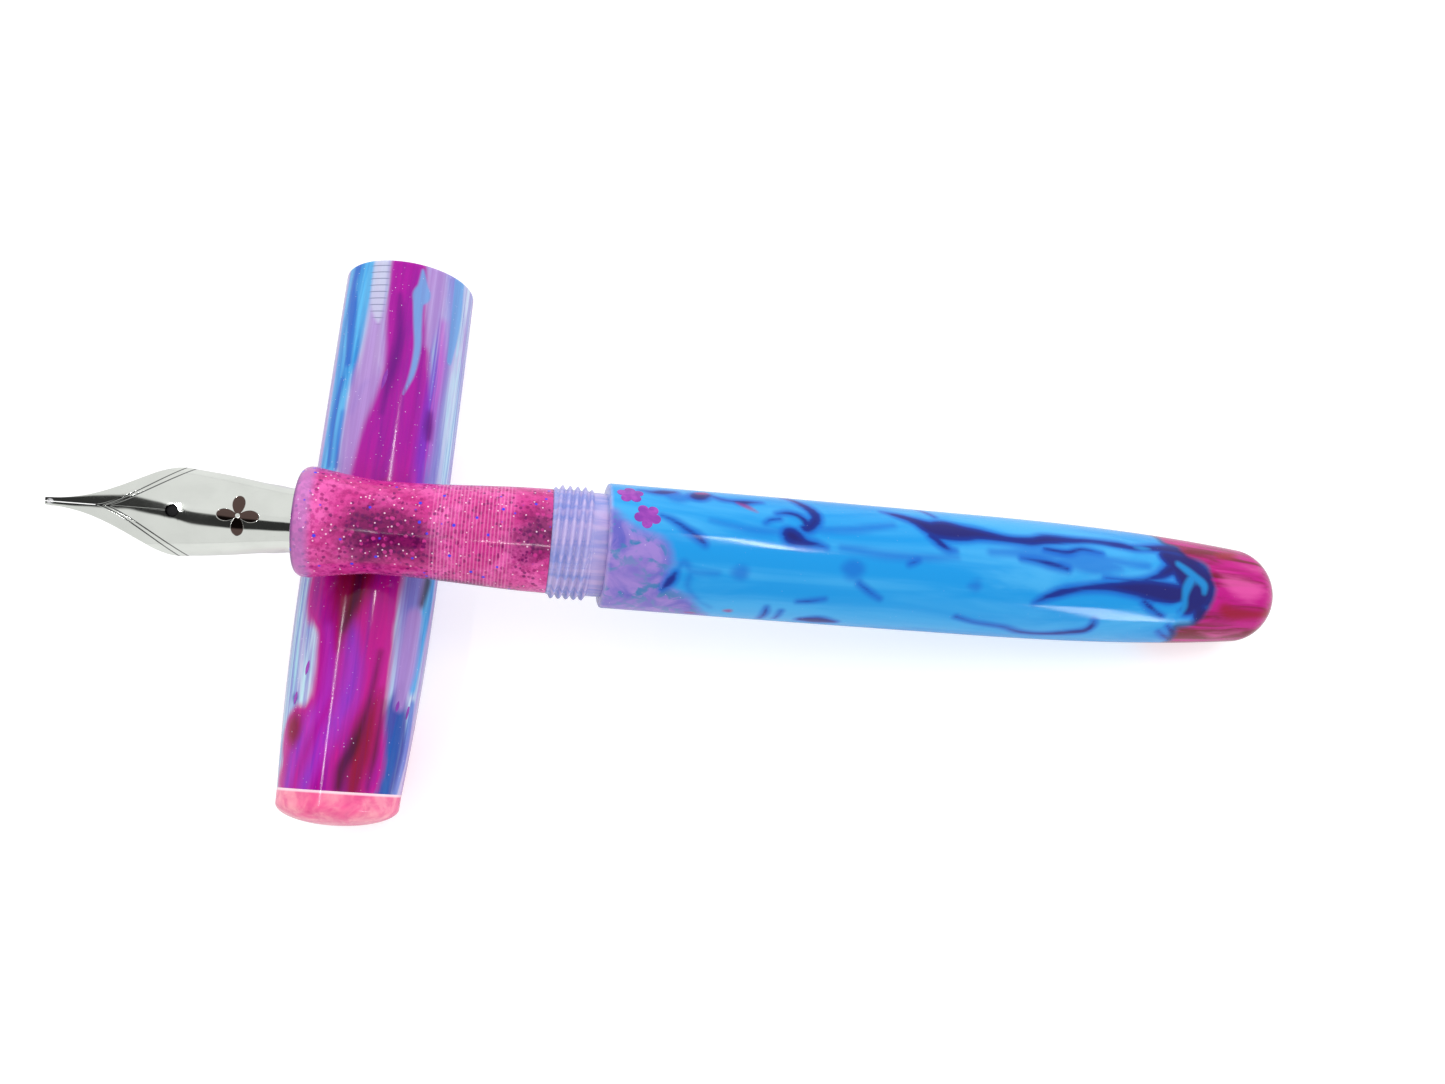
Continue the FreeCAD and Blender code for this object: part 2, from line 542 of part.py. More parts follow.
def flakes_in(body, core, places):
    """Flush flakes, cut from the skin of body outside core. Returns the body and its flakes."""
    flakes = []
    for cutter, station, angle, turn in places:
        cutter.rotate(V(0, 0, 0), V(0, 0, 1), turn)
        cutter.translate(V(station, 0, 0))
        cutter.rotate(V(0, 0, 0), V(1, 0, 0), -angle)
        flake = cutter.common(body).cut(core)
        flakes.append(flake)
    for flake in flakes:
        body = body.cut(flake)
    return body, Part.makeCompound([solid for flake in flakes for solid in flake.Solids])


def with_barrel_flakes(barrel):
    front = BARREL_SHOULDER_RADIUS - FLAKE_DEPTH
    belly = BARREL_BELLY_RADIUS - FLAKE_DEPTH
    belly_at = SHOULDER + BARREL_BELLY_AT
    core = turned([(SHOULDER - 1, 0), (SHOULDER - 1, front), (SHOULDER, front),
                   (belly_at, belly), (belly_at, 0)])
    places = [(flower_cutter(FLOWER_RADIUS), SHOULDER + back, angle, 20) for back, angle in FLOWERS]
    places += [(sliver_cutter(length), SHOULDER + back, angle, 12) for back, angle, length in SLIVERS]
    return flakes_in(barrel, core, places)


def with_cap_flakes(cap):
    core = turned([(FINIAL_LENGTH, 0), (FINIAL_LENGTH, CAP_TAIL_RADIUS - FLAKE_DEPTH),
                   (CAP_TAPER_START, CAP_RADIUS - FLAKE_DEPTH), (CAP_LENGTH - 1, CAP_RADIUS - FLAKE_DEPTH),
                   (CAP_LENGTH - 1, 0)])
    places = [(sliver_cutter(length), station, angle, 25) for station, angle, length in CAP_SLIVERS]
    return flakes_in(cap, core, places)


# ---- lying pose -------------------------------------------------------------------------------------------
def lower_side(edges):
    return [(p.x, p.z) for edge in edges for p in edge.discretize(400)]


def lay_pen():
    """Tilt and tip height that bring the section to the cap and the barrel to the table."""
    barrel_points = lower_side(barrel_side())
    section_points = lower_side([section_side()])
    cap_top = CAP_RADIUS
    low, high = 0.0, 20.0
    for step in range(50):
        tilt = math.radians(0.5 * (low + high))
        sine, cosine = math.sin(tilt), math.cos(tilt)
        height = REST_GAP + max(s * sine + r * cosine for s, r in barrel_points)
        cap_x = PEN_CROSS_STATION * cosine
        gap = min(math.hypot(s * cosine - r * sine - cap_x, height - s * sine - r * cosine - cap_top)
                  for s, r in section_points) - CAP_RADIUS
        if gap < REST_GAP:
            low = math.degrees(tilt)
        else:
            high = math.degrees(tilt)
    return math.degrees(tilt), height, cap_x


TILT_DEG, TIP_Z, CAP_X = lay_pen()
PEN_PLACE = FreeCAD.Placement(V(0, 0, TIP_Z), FreeCAD.Rotation(V(0, 1, 0), TILT_DEG))
CAP_PLACE = FreeCAD.Placement(V(CAP_X, 0, CAP_RADIUS), FreeCAD.Rotation(V(0, 0, 1), 90 - CAP_YAW_DEG))
CAP_PLACE = CAP_PLACE.multiply(FreeCAD.Placement(V(-CAP_CROSS_STATION, 0, 0), FreeCAD.Rotation()))


def rolled(shape):
    """Nib pieces are drawn upright, then turned about the pen axis."""
    shape.rotate(V(0, 0, 0), V(1, 0, 0), -NIB_ROLL_DEG)
    return shape


def make_all():
    cap_body, cap_flakes = with_cap_flakes(make_cap_body())
    barrel, barrel_flakes = with_barrel_flakes(make_barrel())
    nib_blank = make_nib_blank()
    tipping = make_tipping()
    cap = {"cap_body": cap_body, "cap_finial": make_finial(), "cap_flakes": cap_flakes}
    pen = {"section": make_section(), "barrel": barrel, "barrel_flakes": barrel_flakes,
           "nib_housing": make_housing(), "nib": rolled(make_nib(nib_blank, tipping)),
           "nib_tipping": rolled(tipping.copy()), "feed": rolled(make_feed(nib_blank)),
           "converter_tube": make_tube(),
           "converter_sleeve": make_sleeve(),
           "converter_guide": make_guide(), "converter_knob": make_knob(),
           "piston_rod": make_piston_rod(), "piston_seal": make_seal()}
    placed = {}
    for group, place in ((cap, CAP_PLACE), (pen, PEN_PLACE)):
        for name, shape in group.items():
            shape.Placement = place.multiply(shape.Placement)
            placed[name] = shape
    return placed


NODES = make_all()
BOX = Part.makeCompound(list(NODES.values())).optimalBoundingBox(False)
ORIGIN = V(0.5 * (BOX.XMin + BOX.XMax), 0.5 * (BOX.YMin + BOX.YMax), BOX.ZMin)

os.makedirs("parts", exist_ok=True)
for node, solid in NODES.items():
    solid.translate(-ORIGIN)
    solid.exportStep("parts/" + node + ".step")
print("tilt", round(TILT_DEG, 3), "tip height", round(TIP_Z, 3), "cap x", round(CAP_X, 3))
print("size", round(BOX.XLength, 2), round(BOX.YLength, 2), round(BOX.ZLength, 2))
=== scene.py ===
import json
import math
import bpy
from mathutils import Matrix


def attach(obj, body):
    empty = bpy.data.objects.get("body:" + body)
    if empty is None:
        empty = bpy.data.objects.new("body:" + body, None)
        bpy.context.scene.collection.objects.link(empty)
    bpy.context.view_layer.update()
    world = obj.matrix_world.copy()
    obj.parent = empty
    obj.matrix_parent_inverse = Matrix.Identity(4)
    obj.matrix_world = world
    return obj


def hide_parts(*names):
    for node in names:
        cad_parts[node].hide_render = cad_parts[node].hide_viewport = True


bl_info = {
    "name": "Stirred Resin Fountain Pen",
    "version": (1, 0, 0),
    "blender": (4, 5, 0),
    "location": "3D View > Sidebar > Pen",
    "description": "A fountain pen of stirred resin with its screw cap off, made round its working parts",
    "category": "Add Mesh",
}

import bpy
import numpy as np
from mathutils import Matrix, Vector

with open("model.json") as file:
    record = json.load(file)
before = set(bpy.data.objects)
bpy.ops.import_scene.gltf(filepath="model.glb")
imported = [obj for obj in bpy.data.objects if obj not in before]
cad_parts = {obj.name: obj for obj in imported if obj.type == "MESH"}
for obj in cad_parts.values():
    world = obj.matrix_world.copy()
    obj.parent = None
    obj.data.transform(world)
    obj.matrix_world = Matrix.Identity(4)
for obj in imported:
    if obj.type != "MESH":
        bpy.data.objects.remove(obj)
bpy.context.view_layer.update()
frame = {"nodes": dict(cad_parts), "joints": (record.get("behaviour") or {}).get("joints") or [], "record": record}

MM = 0.001
FAR_OUTSIDE = -3.0      # field value well outside every ribbon, in millimetres


# ---- turning axes ------------------------------------------------------------------------
def read_points(mesh):
    """The vertices of a mesh as rows of x, y and z."""
    points = np.zeros(len(mesh.vertices) * 3)
    mesh.vertices.foreach_get("co", points)
    return points.reshape(-1, 3)


def write_points(mesh, points):
    mesh.vertices.foreach_set("co", points.astype(np.float32).ravel())
    mesh.update()


class Lathe:
    """A turning axis. Stations run along it in millimetres, degrees turn from the top to the side."""

    def __init__(self, start, along, top, side):
        self.start = Vector(start)
        self.along = Vector(along).normalized()
        self.top = Vector(top).normalized()
        self.side = Vector(side).normalized()

    def at(self, station, radius=0.0, degrees=0.0):
        turn = math.radians(degrees)
        outward = self.top * math.cos(turn) + self.side * math.sin(turn)
        return self.start + (self.along * station + outward * radius) * MM

    def read(self, mesh):
        """Station, radius and degrees of every vertex."""
        offset = (read_points(mesh) - np.array(self.start)) / MM
        across = offset @ np.array(self.side)
        up = offset @ np.array(self.top)
        return offset @ np.array(self.along), np.hypot(across, up), np.degrees(np.arctan2(across, up))

    def write(self, mesh, station, radius, degrees):
        turn = np.radians(degrees)[:, None]
        outward = np.cos(turn) * np.array(self.top) + np.sin(turn) * np.array(self.side)
        offset = station[:, None] * np.array(self.along) + radius[:, None] * outward
        write_points(mesh, np.array(self.start) + MM * offset)

    def rows(self):
        """Row-frame to lathe rotation, right-handed, with rows along, across and up."""
        return Matrix((self.along, self.top.cross(self.along), self.top))


def joint(name):
    return next(j for j in frame["joints"] if j["name"] == name)


def mount(name):
    return next(m for m in frame["record"]["mounts"] if m["name"] == name)


KNOB_STATION = 97.08            # the knob joint stands here, behind the nib tip
CAP_RIM_RADIUS = 6.49           # the cap mouth mount stands on the rim at this radius
CAP_LENGTH = 62.3

pen_along = -Vector(joint("knob_turn")["axis"])
pen_side = Vector((0, 1, 0))
PEN = Lathe(Vector(joint("knob_turn")["pos_m"]) - pen_along * KNOB_STATION * MM,
            pen_along, pen_along.cross(pen_side), pen_side)

CAP_MOUTH = Vector(mount("cap_mouth_face")["pos_m"])
cap_along = Vector(mount("cap_mouth_face")["axis"])
cap_top = Vector((0, 0, 1))
CAP = Lathe(CAP_MOUTH - (cap_along * CAP_LENGTH + cap_top * CAP_RIM_RADIUS) * MM,
            cap_along, cap_top, cap_along.cross(cap_top))


def paint(red, green, blue):
    """A colour given as the 0 to 255 values of a paint chart, made linear."""
    linear = []
    for value in (red, green, blue):
        share = value / 255
        linear.append(share / 12.92 if share <= 0.04045 else ((share + 0.055) / 1.055) ** 2.4)
    return (*linear, 1.0)


def size(name, default, description=""):
    return bpy.props.FloatProperty(name=name, description=description or name + ", in millimetres",
                                   default=default, min=0.0)


def colour(name, red, green, blue):
    return bpy.props.FloatVectorProperty(name=name, description=name + " of the finish", size=4, min=0.0,
                                         max=1.0, subtype="COLOR", default=paint(red, green, blue))


# ---- what a user would change -----------------------------------------------------------------
class PenSizes(bpy.types.PropertyGroup):
    """Sizes of the pen pieces."""
    face: size("Section Face", 23.0, "Nib tip to the front of the section, in millimetres")
    junction: size("Junction", 47.9, "Nib tip to the front of the barrel, in millimetres")
    shoulder: size("Shoulder", 53.6, "Nib tip to the barrel shoulder, in millimetres")
    barrel_end: size("Barrel End", 133.4, "Nib tip to the end of the barrel, in millimetres")
    shoulder_radius: size("Shoulder Radius", 6.64)
    belly_radius: size("Belly Radius", 6.85)
    belly_station: size("Belly Station", 96.6)
    dome_radius: size("Dome Radius", 5.50, "Radius where the dome begins, in millimetres")
    dome_length: size("Dome Length", 4.3)
    thread_root: size("Thread Root", 5.55)
    thread_height: size("Thread Height", 0.45)
    thread_pitch: size("Thread Pitch", 0.80)
    thread_lead: size("Thread Lead", 2.4, "Travel in one turn of the three thread starts, in millimetres")
    thread_start: size("Thread Start", 48.2)
    thread_end: size("Thread End", 52.2)
    socket_radius: size("Socket Radius", 4.76)
    bore_radius: size("Bore Radius", 4.5)
    bore_end: size("Bore End", 127.1)
    lip_radius: size("Lip Radius", 5.60)
    lip_length: size("Lip Length", 1.4)
    face_radius: size("Face Radius", 4.70)
    waist_radius: size("Waist Radius", 4.80)
    waist_station: size("Waist Station", 31.8)
    section_rear_radius: size("Section Rear Radius", 5.50)


class CapSizes(bpy.types.PropertyGroup):
    """Sizes of the cap, with stations counted from its closed end."""
    radius: size("Cap Radius", 7.30)
    tail_radius: size("Tail Radius", 6.36)
    taper_start: size("Taper Start", 28.0)
    finial_length: size("Finial Length", 3.6)
    finial_side: size("Finial Side", 1.5)
    spigot_radius: size("Spigot Radius", 3.5)
    spigot_end: size("Spigot End", 5.6)
    bore_radius: size("Cap Bore Radius", 5.85)
    nose_radius: size("Nose Bore Radius", 4.95)
    bore_step: size("Bore Step", 30.2)
    bore_bottom: size("Bore Bottom", 6.3)
    thread_minor: size("Thread Minor Radius", 5.70)
    thread_major: size("Thread Major Radius", 6.08)
    thread_start: size("Cap Thread Start", 55.3)
    thread_end: size("Cap Thread End", 60.9)
    mouth_round: size("Mouth Round", 0.40)


class NibSizes(bpy.types.PropertyGroup):
    """Sizes of the nib."""
    length: size("Nib Length", 35.0)
    sheet: size("Sheet Thickness", 0.30)
    base_radius: size("Base Radius", 3.25)
    wrap: bpy.props.FloatProperty(name="Wrap", description="Half the wrap of the base round the feed",
                                  default=math.radians(100.0), subtype="ANGLE")
    tip_height: size("Tip Height", 0.55)
    slit_half: size("Half Slit Width", 0.04)
    breather_at: size("Breather Station", 11.9)
    breather_radius: size("Breather Radius", 0.58)
    straight_at: size("Straight From", 22.2)
    tipping_radius: size("Tipping Radius", 0.42)
    tipping_length: size("Tipping Length", 1.1)


class ResinColours(bpy.types.PropertyGroup):
    """Colours stirred into the resin."""
    sky: colour("Sky Blue", 12, 146, 220)
    pale_sky: colour("Pale Sky Blue", 84, 184, 238)
    azure: colour("Azure", 4, 92, 196)
    navy: colour("Navy", 4, 26, 130)
    night: colour("Night Blue", 26, 10, 92)
    violet: colour("Violet", 120, 118, 204)
    lilac: colour("Lilac", 176, 140, 208)
    pink: colour("Pink", 236, 96, 176)
    crimson: colour("Crimson", 150, 0, 40)
    aqua: colour("Aqua", 168, 218, 230)


class StudioSettings(bpy.types.PropertyGroup):
    """Camera, lights and floor."""
    camera_place: bpy.props.FloatVectorProperty(name="Camera Place",
                                                description="Where the camera stands, from the cap mouth",
                                                default=(0.030160, -0.058469, 0.115937),
                                                subtype="TRANSLATION", unit="LENGTH", precision=5)
    camera_turn: bpy.props.FloatVectorProperty(name="Camera Turn", description="How the camera is turned",
                                               default=(0.231535, -0.073670, 0.032376), subtype="EULER")
    camera_lens: bpy.props.FloatProperty(name="Lens",
                                         description="Focal length in millimetres on a 36 mm sensor",
                                         default=27.165, min=1.0, unit="CAMERA")
    far_sky: bpy.props.FloatProperty(name="Bright Side", default=1.30, min=0.0,
                                     description="Strength of the room on the bright side")
    near_sky: bpy.props.FloatProperty(name="Dark Side", default=0.60, min=0.0,
                                      description="Strength of the room on the dark side")
    lamp_strength: bpy.props.FloatProperty(name="Lamps", description="Share of the lamps' full power",
                                           default=1.0, min=0.0)


# ---- modelling helpers -----------------------------------------------------------------------
def deselect():
    if bpy.context.mode != "OBJECT":
        bpy.ops.object.mode_set(mode="OBJECT")
    bpy.ops.object.select_all(action="DESELECT")


def focus(piece):
    deselect()
    piece.select_set(True)
    bpy.context.view_layer.objects.active = piece


def run(start, end, step):
    """Evenly spaced (station, radius) points from start to end, without the end point."""
    count = max(1, round(math.dist(start, end) / step))
    return [(start[0] + (end[0] - start[0]) * i / count, start[1] + (end[1] - start[1]) * i / count)
            for i in range(count)]


def sweep(points, count):
    """A smooth curve through a few points of any dimension, as an array of count rows."""
    knots = np.array(points, float)
    padded = np.vstack([2 * knots[0] - knots[1], knots, 2 * knots[-1] - knots[-2]])
    where = np.linspace(0, len(knots) - 1, count)
    left = np.minimum(where.astype(int), len(knots) - 2)
    t = (where - left)[:, None]
    a, b, c, d = (padded[left + i] for i in range(4))
    return 0.5 * (2 * b + (c - a) * t + (2 * a - 5 * b + 4 * c - d) * t ** 2
                  + (3 * b - a - 3 * c + d) * t ** 3)


def start_point(name, place):
    """A new piece that is one selected vertex, in edit mode."""
    deselect()
    bpy.ops.mesh.primitive_plane_add(size=MM, location=(0, 0, 0))
    piece = bpy.context.object
    piece.name = name
    piece.data.name = name
    bpy.ops.object.mode_set(mode="EDIT")
    bpy.ops.mesh.select_mode(type="VERT")
    bpy.ops.mesh.select_all(action="SELECT")
    bpy.ops.mesh.merge(type="CENTER")
    bpy.ops.transform.translate(value=place)
    return piece


def turned(name, outline, lathe, steps, smooth=34.0):
    """Draw an outline of (station, radius) points, and spin it about the lathe's axis."""
    piece = start_point(name, lathe.at(*outline[0]))
    for here, there in zip(outline, outline[1:]):
        bpy.ops.mesh.extrude_region_move(
            TRANSFORM_OT_translate={"value": lathe.at(*there) - lathe.at(*here)})
    bpy.ops.mesh.select_all(action="SELECT")
    bpy.ops.mesh.spin(steps=steps, angle=2 * math.pi, center=lathe.start, axis=lathe.along)
    bpy.ops.mesh.select_all(action="SELECT")
    bpy.ops.mesh.remove_doubles(threshold=2e-6)
    bpy.ops.mesh.normals_make_consistent(inside=False)
    bpy.ops.object.mode_set(mode="OBJECT")
    bpy.ops.object.shade_smooth_by_angle(angle=math.radians(smooth))
    return piece


def face_outward(piece):
    """Turn every face of a piece outward."""
    focus(piece)
    bpy.ops.object.mode_set(mode="EDIT")
    bpy.ops.mesh.select_all(action="SELECT")
    bpy.ops.mesh.normals_make_consistent(inside=False)
    bpy.ops.object.mode_set(mode="OBJECT")


def apply_modifier(piece, name, kind, **settings):
    modifier = piece.modifiers.new(name, kind)
    for key, value in settings.items():
        setattr(modifier, key, value)
    focus(piece)
    bpy.ops.object.modifier_apply(modifier=name)


def add_object(name, data):
    """An object of its own in the scene that holds the data."""
    holder = bpy.data.objects.new(name, data)
    bpy.context.scene.collection.objects.link(holder)
    return holder


def finish_piece(piece, material, body, slot, *nodes):
    """Give a piece its finish, its body and the working parts that it stands for. The slot is not used."""
    piece.data.materials.clear()
    piece.data.materials.append(material)
    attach(piece, body)
    if nodes:
        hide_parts(*nodes)


def dress(node, material):
    """Give a working part that stays in view its finish."""
    mesh = frame["nodes"][node].data
    mesh.materials.clear()
    mesh.materials.append(material)


def cut_thread(mesh, lathe, start, end, root, height, pitch, lead):
    """Raise a thread of several starts on the vertices at the root's radius, between two stations."""
    station, radius, degrees = lathe.read(mesh)
    on_thread = (np.abs(radius - root) < THREAD_REACH) & (station > start) & (station < end)
    turn = (station / pitch - degrees / 360 * round(lead / pitch)) % 1.0
    ridge = np.clip((0.42 - np.abs(turn - 0.5)) / 0.34, 0, 1)
    runout = np.clip(np.minimum(station - start, end - station) / (0.5 * pitch), 0, 1)
    radius = np.where(on_thread, root + height * ridge * runout, radius)
    lathe.write(mesh, station, radius, degrees)


# ---- fields: how far inside a ribbon or patch of colour each vertex lies, in millimetres ----------
def ribbon(station, arc, radius, points):
    """Half width less distance, for a ribbon through (station, degrees, half width) points."""
    knots = [(s, math.radians(degrees) * radius, half) for s, degrees, half in points]
    line = sweep(knots, 6 * (len(knots) - 1) + 1)
    field = np.full(len(station), FAR_OUTSIDE)
    room = abs(FAR_OUTSIDE) + line[:, 2].max()
    near = ((station > line[:, 0].min() - room) & (station < line[:, 0].max() + room)
            & (arc > line[:, 1].min() - room) & (arc < line[:, 1].max() + room))
    here = np.stack([station[near], arc[near]], 1)
    best = field[near]
    for a, b in zip(line, line[1:]):
        step = b[:2] - a[:2]
        share = np.clip((here - a[:2]) @ step / max(step @ step, 1e-9), 0, 1)
        gap = np.hypot(*(here - a[:2] - share[:, None] * step).T)
        best = np.maximum(best, a[2] + (b[2] - a[2]) * share - gap)
    field[near] = best
    return field


def patch(station, arc, radius, corners):
    """Distance inside a smooth closed patch of (station, degrees) corners, less than 0 outside."""
    knots = [(s, math.radians(degrees) * radius) for s, degrees in corners]
    line = sweep([knots[-1], *knots, knots[0], knots[1]], 6 * (len(knots) + 2) + 1)[6:-6]
    gap = np.full(len(station), abs(FAR_OUTSIDE))
    inside = np.zeros(len(station), bool)
    for a, b in zip(line, line[1:]):
        step = b - a
        share = np.clip(((station - a[0]) * step[0] + (arc - a[1]) * step[1]) / max(step @ step, 1e-9), 0, 1)
        gap = np.minimum(gap, np.hypot(station - a[0] - share * step[0], arc - a[1] - share * step[1]))
        crosses = (a[1] > arc) != (b[1] > arc)
        side = a[0] + (arc - a[1]) * step[0] / (step[1] if step[1] else 1e-9)
        inside ^= crosses & (station < side)
    return np.where(inside, gap, -gap)


def far_swirls(station, degrees, middle, phase):
    """A slow stirred pattern for the side that faces away, as a field."""
    turn = np.radians(degrees)
    drift = station / 9.0 + 1.4 * np.sin(turn + phase) + 0.9 * np.sin(2 * turn + station / 17.0 + phase)
    wave = np.sin(drift + 1.8 * np.sin(station / 13.0 + phase)) + 0.45 * np.sin(3 * turn + station / 6.0)
    away = np.abs((degrees - middle + 180) % 360 - 180) - 98
    return np.clip(1.6 * (wave - 0.75), FAR_OUTSIDE, 1.2) + np.clip(away / 6, -4, 0)


def write_fields(piece, fields):
    for name, values in fields.items():
        attribute = piece.data.attributes.new(name, "FLOAT", "POINT")
        attribute.data.foreach_set("value", np.clip(values, FAR_OUTSIDE, -FAR_OUTSIDE).astype(np.float32))


def stirred(piece, lathe, radius, ribbons, patches, swirls):
    """Write every ribbon and patch of a piece as a field on its vertices."""
    station, _, degrees = lathe.read(piece.data)
    arc = np.radians(degrees) * radius
    fields = {}
    for name in {**ribbons, **patches, **swirls}:
        field = np.full(len(station), FAR_OUTSIDE)
        for points in ribbons.get(name, []):
            field = np.maximum(field, ribbon(station, arc, radius, points))
        for corners in patches.get(name, []):
            field = np.maximum(field, patch(station, arc, radius, corners))
        if name in swirls:
            field = np.maximum(field, far_swirls(station, degrees, *swirls[name]))
        fields[name] = field
    write_fields(piece, fields)


# ---- shader helpers ----------------------------------------------------------------------------
def fill(tree, node, inputs):
    """Link or set inputs of a node."""
    for key, value in inputs.items():
        if isinstance(value, bpy.types.NodeSocket):
            tree.links.new(value, node.inputs[key])
        else:
            node.inputs[key].default_value = value
    return node


def add_node(tree, kind, inputs=None, **settings):
    node = tree.nodes.new(kind)
    for key, value in settings.items():
        setattr(node, key, value)
    return fill(tree, node, inputs or {})


def calculate(tree, operation, *values):
    return add_node(tree, "ShaderNodeMath", dict(enumerate(values)), operation=operation).outputs[0]


def mix(tree, share, under, over):
    return add_node(tree, "ShaderNodeMix", {0: share, 6: under, 7: over}, data_type="RGBA").outputs[2]


def ease(tree, value, low, high, start=0.0, end=1.0):
    return add_node(tree, "ShaderNodeMapRange", {0: value, 1: low, 2: high, 3: start, 4: end},
                    interpolation_type="SMOOTHSTEP").outputs[0]


def noise(tree, place, scale, detail=2.0, rough=0.5, twist=0.0):
    return add_node(tree, "ShaderNodeTexNoise", {"Vector": place, "Scale": scale, "Detail": detail,
                                                 "Roughness": rough, "Distortion": twist})


def lathe_place(tree, lathe):
    """Object coordinates turned into millimetres along, across and above a lathe's axis."""
    rows = lathe.rows()
    shift = -(rows @ lathe.start) / MM
    return add_node(tree, "ShaderNodeMapping",
                    {"Vector": add_node(tree, "ShaderNodeTexCoord").outputs["Object"],
                     "Location": shift, "Rotation": rows.to_euler("XYZ"), "Scale": (1 / MM,) * 3}).outputs[0]


def new_group(name, inputs, outputs):
    """An empty node group with named sockets, and its input and output nodes."""
    kinds = {"colour": "NodeSocketColor", "value": "NodeSocketFloat", "place": "NodeSocketVector"}
    group = bpy.data.node_groups.new(name, "ShaderNodeTree")
    for direction, sockets in (("INPUT", inputs), ("OUTPUT", outputs)):
        for socket_name, kind, *default in sockets:
            socket = group.interface.new_socket(name=socket_name, in_out=direction, socket_type=kinds[kind])
            if default:
                socket.default_value = default[0]
    return group, group.nodes.new("NodeGroupInput").outputs, group.nodes.new("NodeGroupOutput").inputs


def stirred_layer():
    """One colour stirred over another where a field is above zero, with a soft edge."""
    group, given, made = new_group(
        "Stirred Layer",
        [("Under", "colour"), ("Colour", "colour"), ("Field", "value"), ("Shift", "value", 0.0),
         ("Softness", "value", 0.2), ("Strength", "value", 1.0)], [("Colour", "colour")])
    field = calculate(group, "ADD", given["Field"], given["Shift"])
    low = calculate(group, "MULTIPLY", given["Softness"], -1.0)
    share = calculate(group, "MULTIPLY", ease(group, field, low, given["Softness"]), given["Strength"])
    group.links.new(mix(group, share, given["Under"], given["Colour"]), made["Colour"])
    return group


def pulled_streaks():
    """Long streaks of pearl pulled along the rod as the resin set, from 0 to 1."""
    group, given, made = new_group(
        "Pulled Streaks", [("Place", "place"), ("Length", "value", 14.0), ("Width", "value", 1.2)],
        [("Value", "value"), ("Ruffle", "value")])
    apart = add_node(group, "ShaderNodeSeparateXYZ", {0: given["Place"]}).outputs
    stretched = add_node(group, "ShaderNodeCombineXYZ",
                         {0: calculate(group, "DIVIDE", apart[0], given["Length"]),
                          1: calculate(group, "DIVIDE", apart[1], given["Width"]),
                          2: calculate(group, "DIVIDE", apart[2], given["Width"])}).outputs[0]
    wisps = noise(group, stretched, 0.55, 4.0, 0.55, 0.9).outputs[0]
    ruffle = noise(group, stretched, 1.3, 3.0, 0.5, 0.5).outputs[0]
    group.links.new(ease(group, wisps, 0.36, 0.66), made["Value"])
    group.links.new(calculate(group, "SUBTRACT", ruffle, 0.5), made["Ruffle"])
    return group


def glitter():
    """Specks of pearl and foil in the resin: Share of the cells hold one, Size across in millimetres."""
    group, given, made = new_group(
        "Glitter",
        [("Place", "place"), ("Cell", "value", 0.6), ("Size", "value", 0.12), ("Share", "value", 0.3)],
        [("Mask", "value"), ("Pick", "value")])
    cells = add_node(group, "ShaderNodeTexVoronoi",
                     {"Vector": given["Place"], "Scale": calculate(group, "DIVIDE", 1.0, given["Cell"])})
    pick = add_node(group, "ShaderNodeSeparateColor", {0: cells.outputs["Color"]}).outputs
    reach = calculate(group, "DIVIDE", given["Size"], calculate(group, "MULTIPLY", given["Cell"], 2.0))
    near = ease(group, cells.outputs["Distance"], reach, calculate(group, "MULTIPLY", reach, 0.6))
    chosen = calculate(group, "LESS_THAN", pick[0], given["Share"])
    group.links.new(calculate(group, "MULTIPLY", near, chosen), made["Mask"])
    group.links.new(pick[1], made["Pick"])
    return group


def handled_polish():
    """Roughness of a polished surface that hands have dulled in places, and its fine scratches."""
    group, given, made = new_group(
        "Handled Polish", [("Place", "place"), ("Roughness", "value", 0.08), ("Dulling", "value", 0.06)],
        [("Roughness", "value"), ("Height", "value")])
    cloud = noise(group, given["Place"], 0.22, 3.0).outputs[0]
    scratch = noise(group, given["Place"], 9.0, 2.0, 0.6, 1.5).outputs[0]
    dulled = calculate(group, "MULTIPLY", ease(group, cloud, 0.4, 0.75), given["Dulling"])
    group.links.new(calculate(group, "ADD", given["Roughness"], dulled), made["Roughness"])
    group.links.new(scratch, made["Height"])
    return group


def moulded_grain():
    """The faint mottle of moulded plastic: a value from 0 to 1 and a height."""
    group, given, made = new_group("Moulded Grain", [("Place", "place"), ("Scale", "value", 3.0)],
                                   [("Mottle", "value"), ("Height", "value")])
    mottle = noise(group, given["Place"], 0.35, 3.0).outputs[0]
    grain = noise(group, given["Place"], given["Scale"], 3.0).outputs[0]
    group.links.new(ease(group, mottle, 0.3, 0.7), made["Mottle"])
    group.links.new(grain, made["Height"])
    return group


GROUPS = {"layer": stirred_layer, "streaks": pulled_streaks, "glitter": glitter, "polish": handled_polish,
          "grain": moulded_grain}
built_groups = {}


def use(tree, name, **inputs):
    """The outputs of a new node of a shared group, which is built when first used."""
    if name not in built_groups:
        built_groups[name] = GROUPS[name]()
    return add_node(tree, "ShaderNodeGroup", inputs, node_tree=built_groups[name]).outputs


def new_material(name):
    """A material with its tree, its Principled BSDF and its output linked."""
    material = bpy.data.materials.new(name)
    material.use_nodes = True
    tree = material.node_tree
    tree.nodes.clear()
    surface = tree.nodes.new("ShaderNodeBsdfPrincipled")
    output = tree.nodes.new("ShaderNodeOutputMaterial")
    tree.links.new(surface.outputs[0], output.inputs[0])
    return material, tree, surface


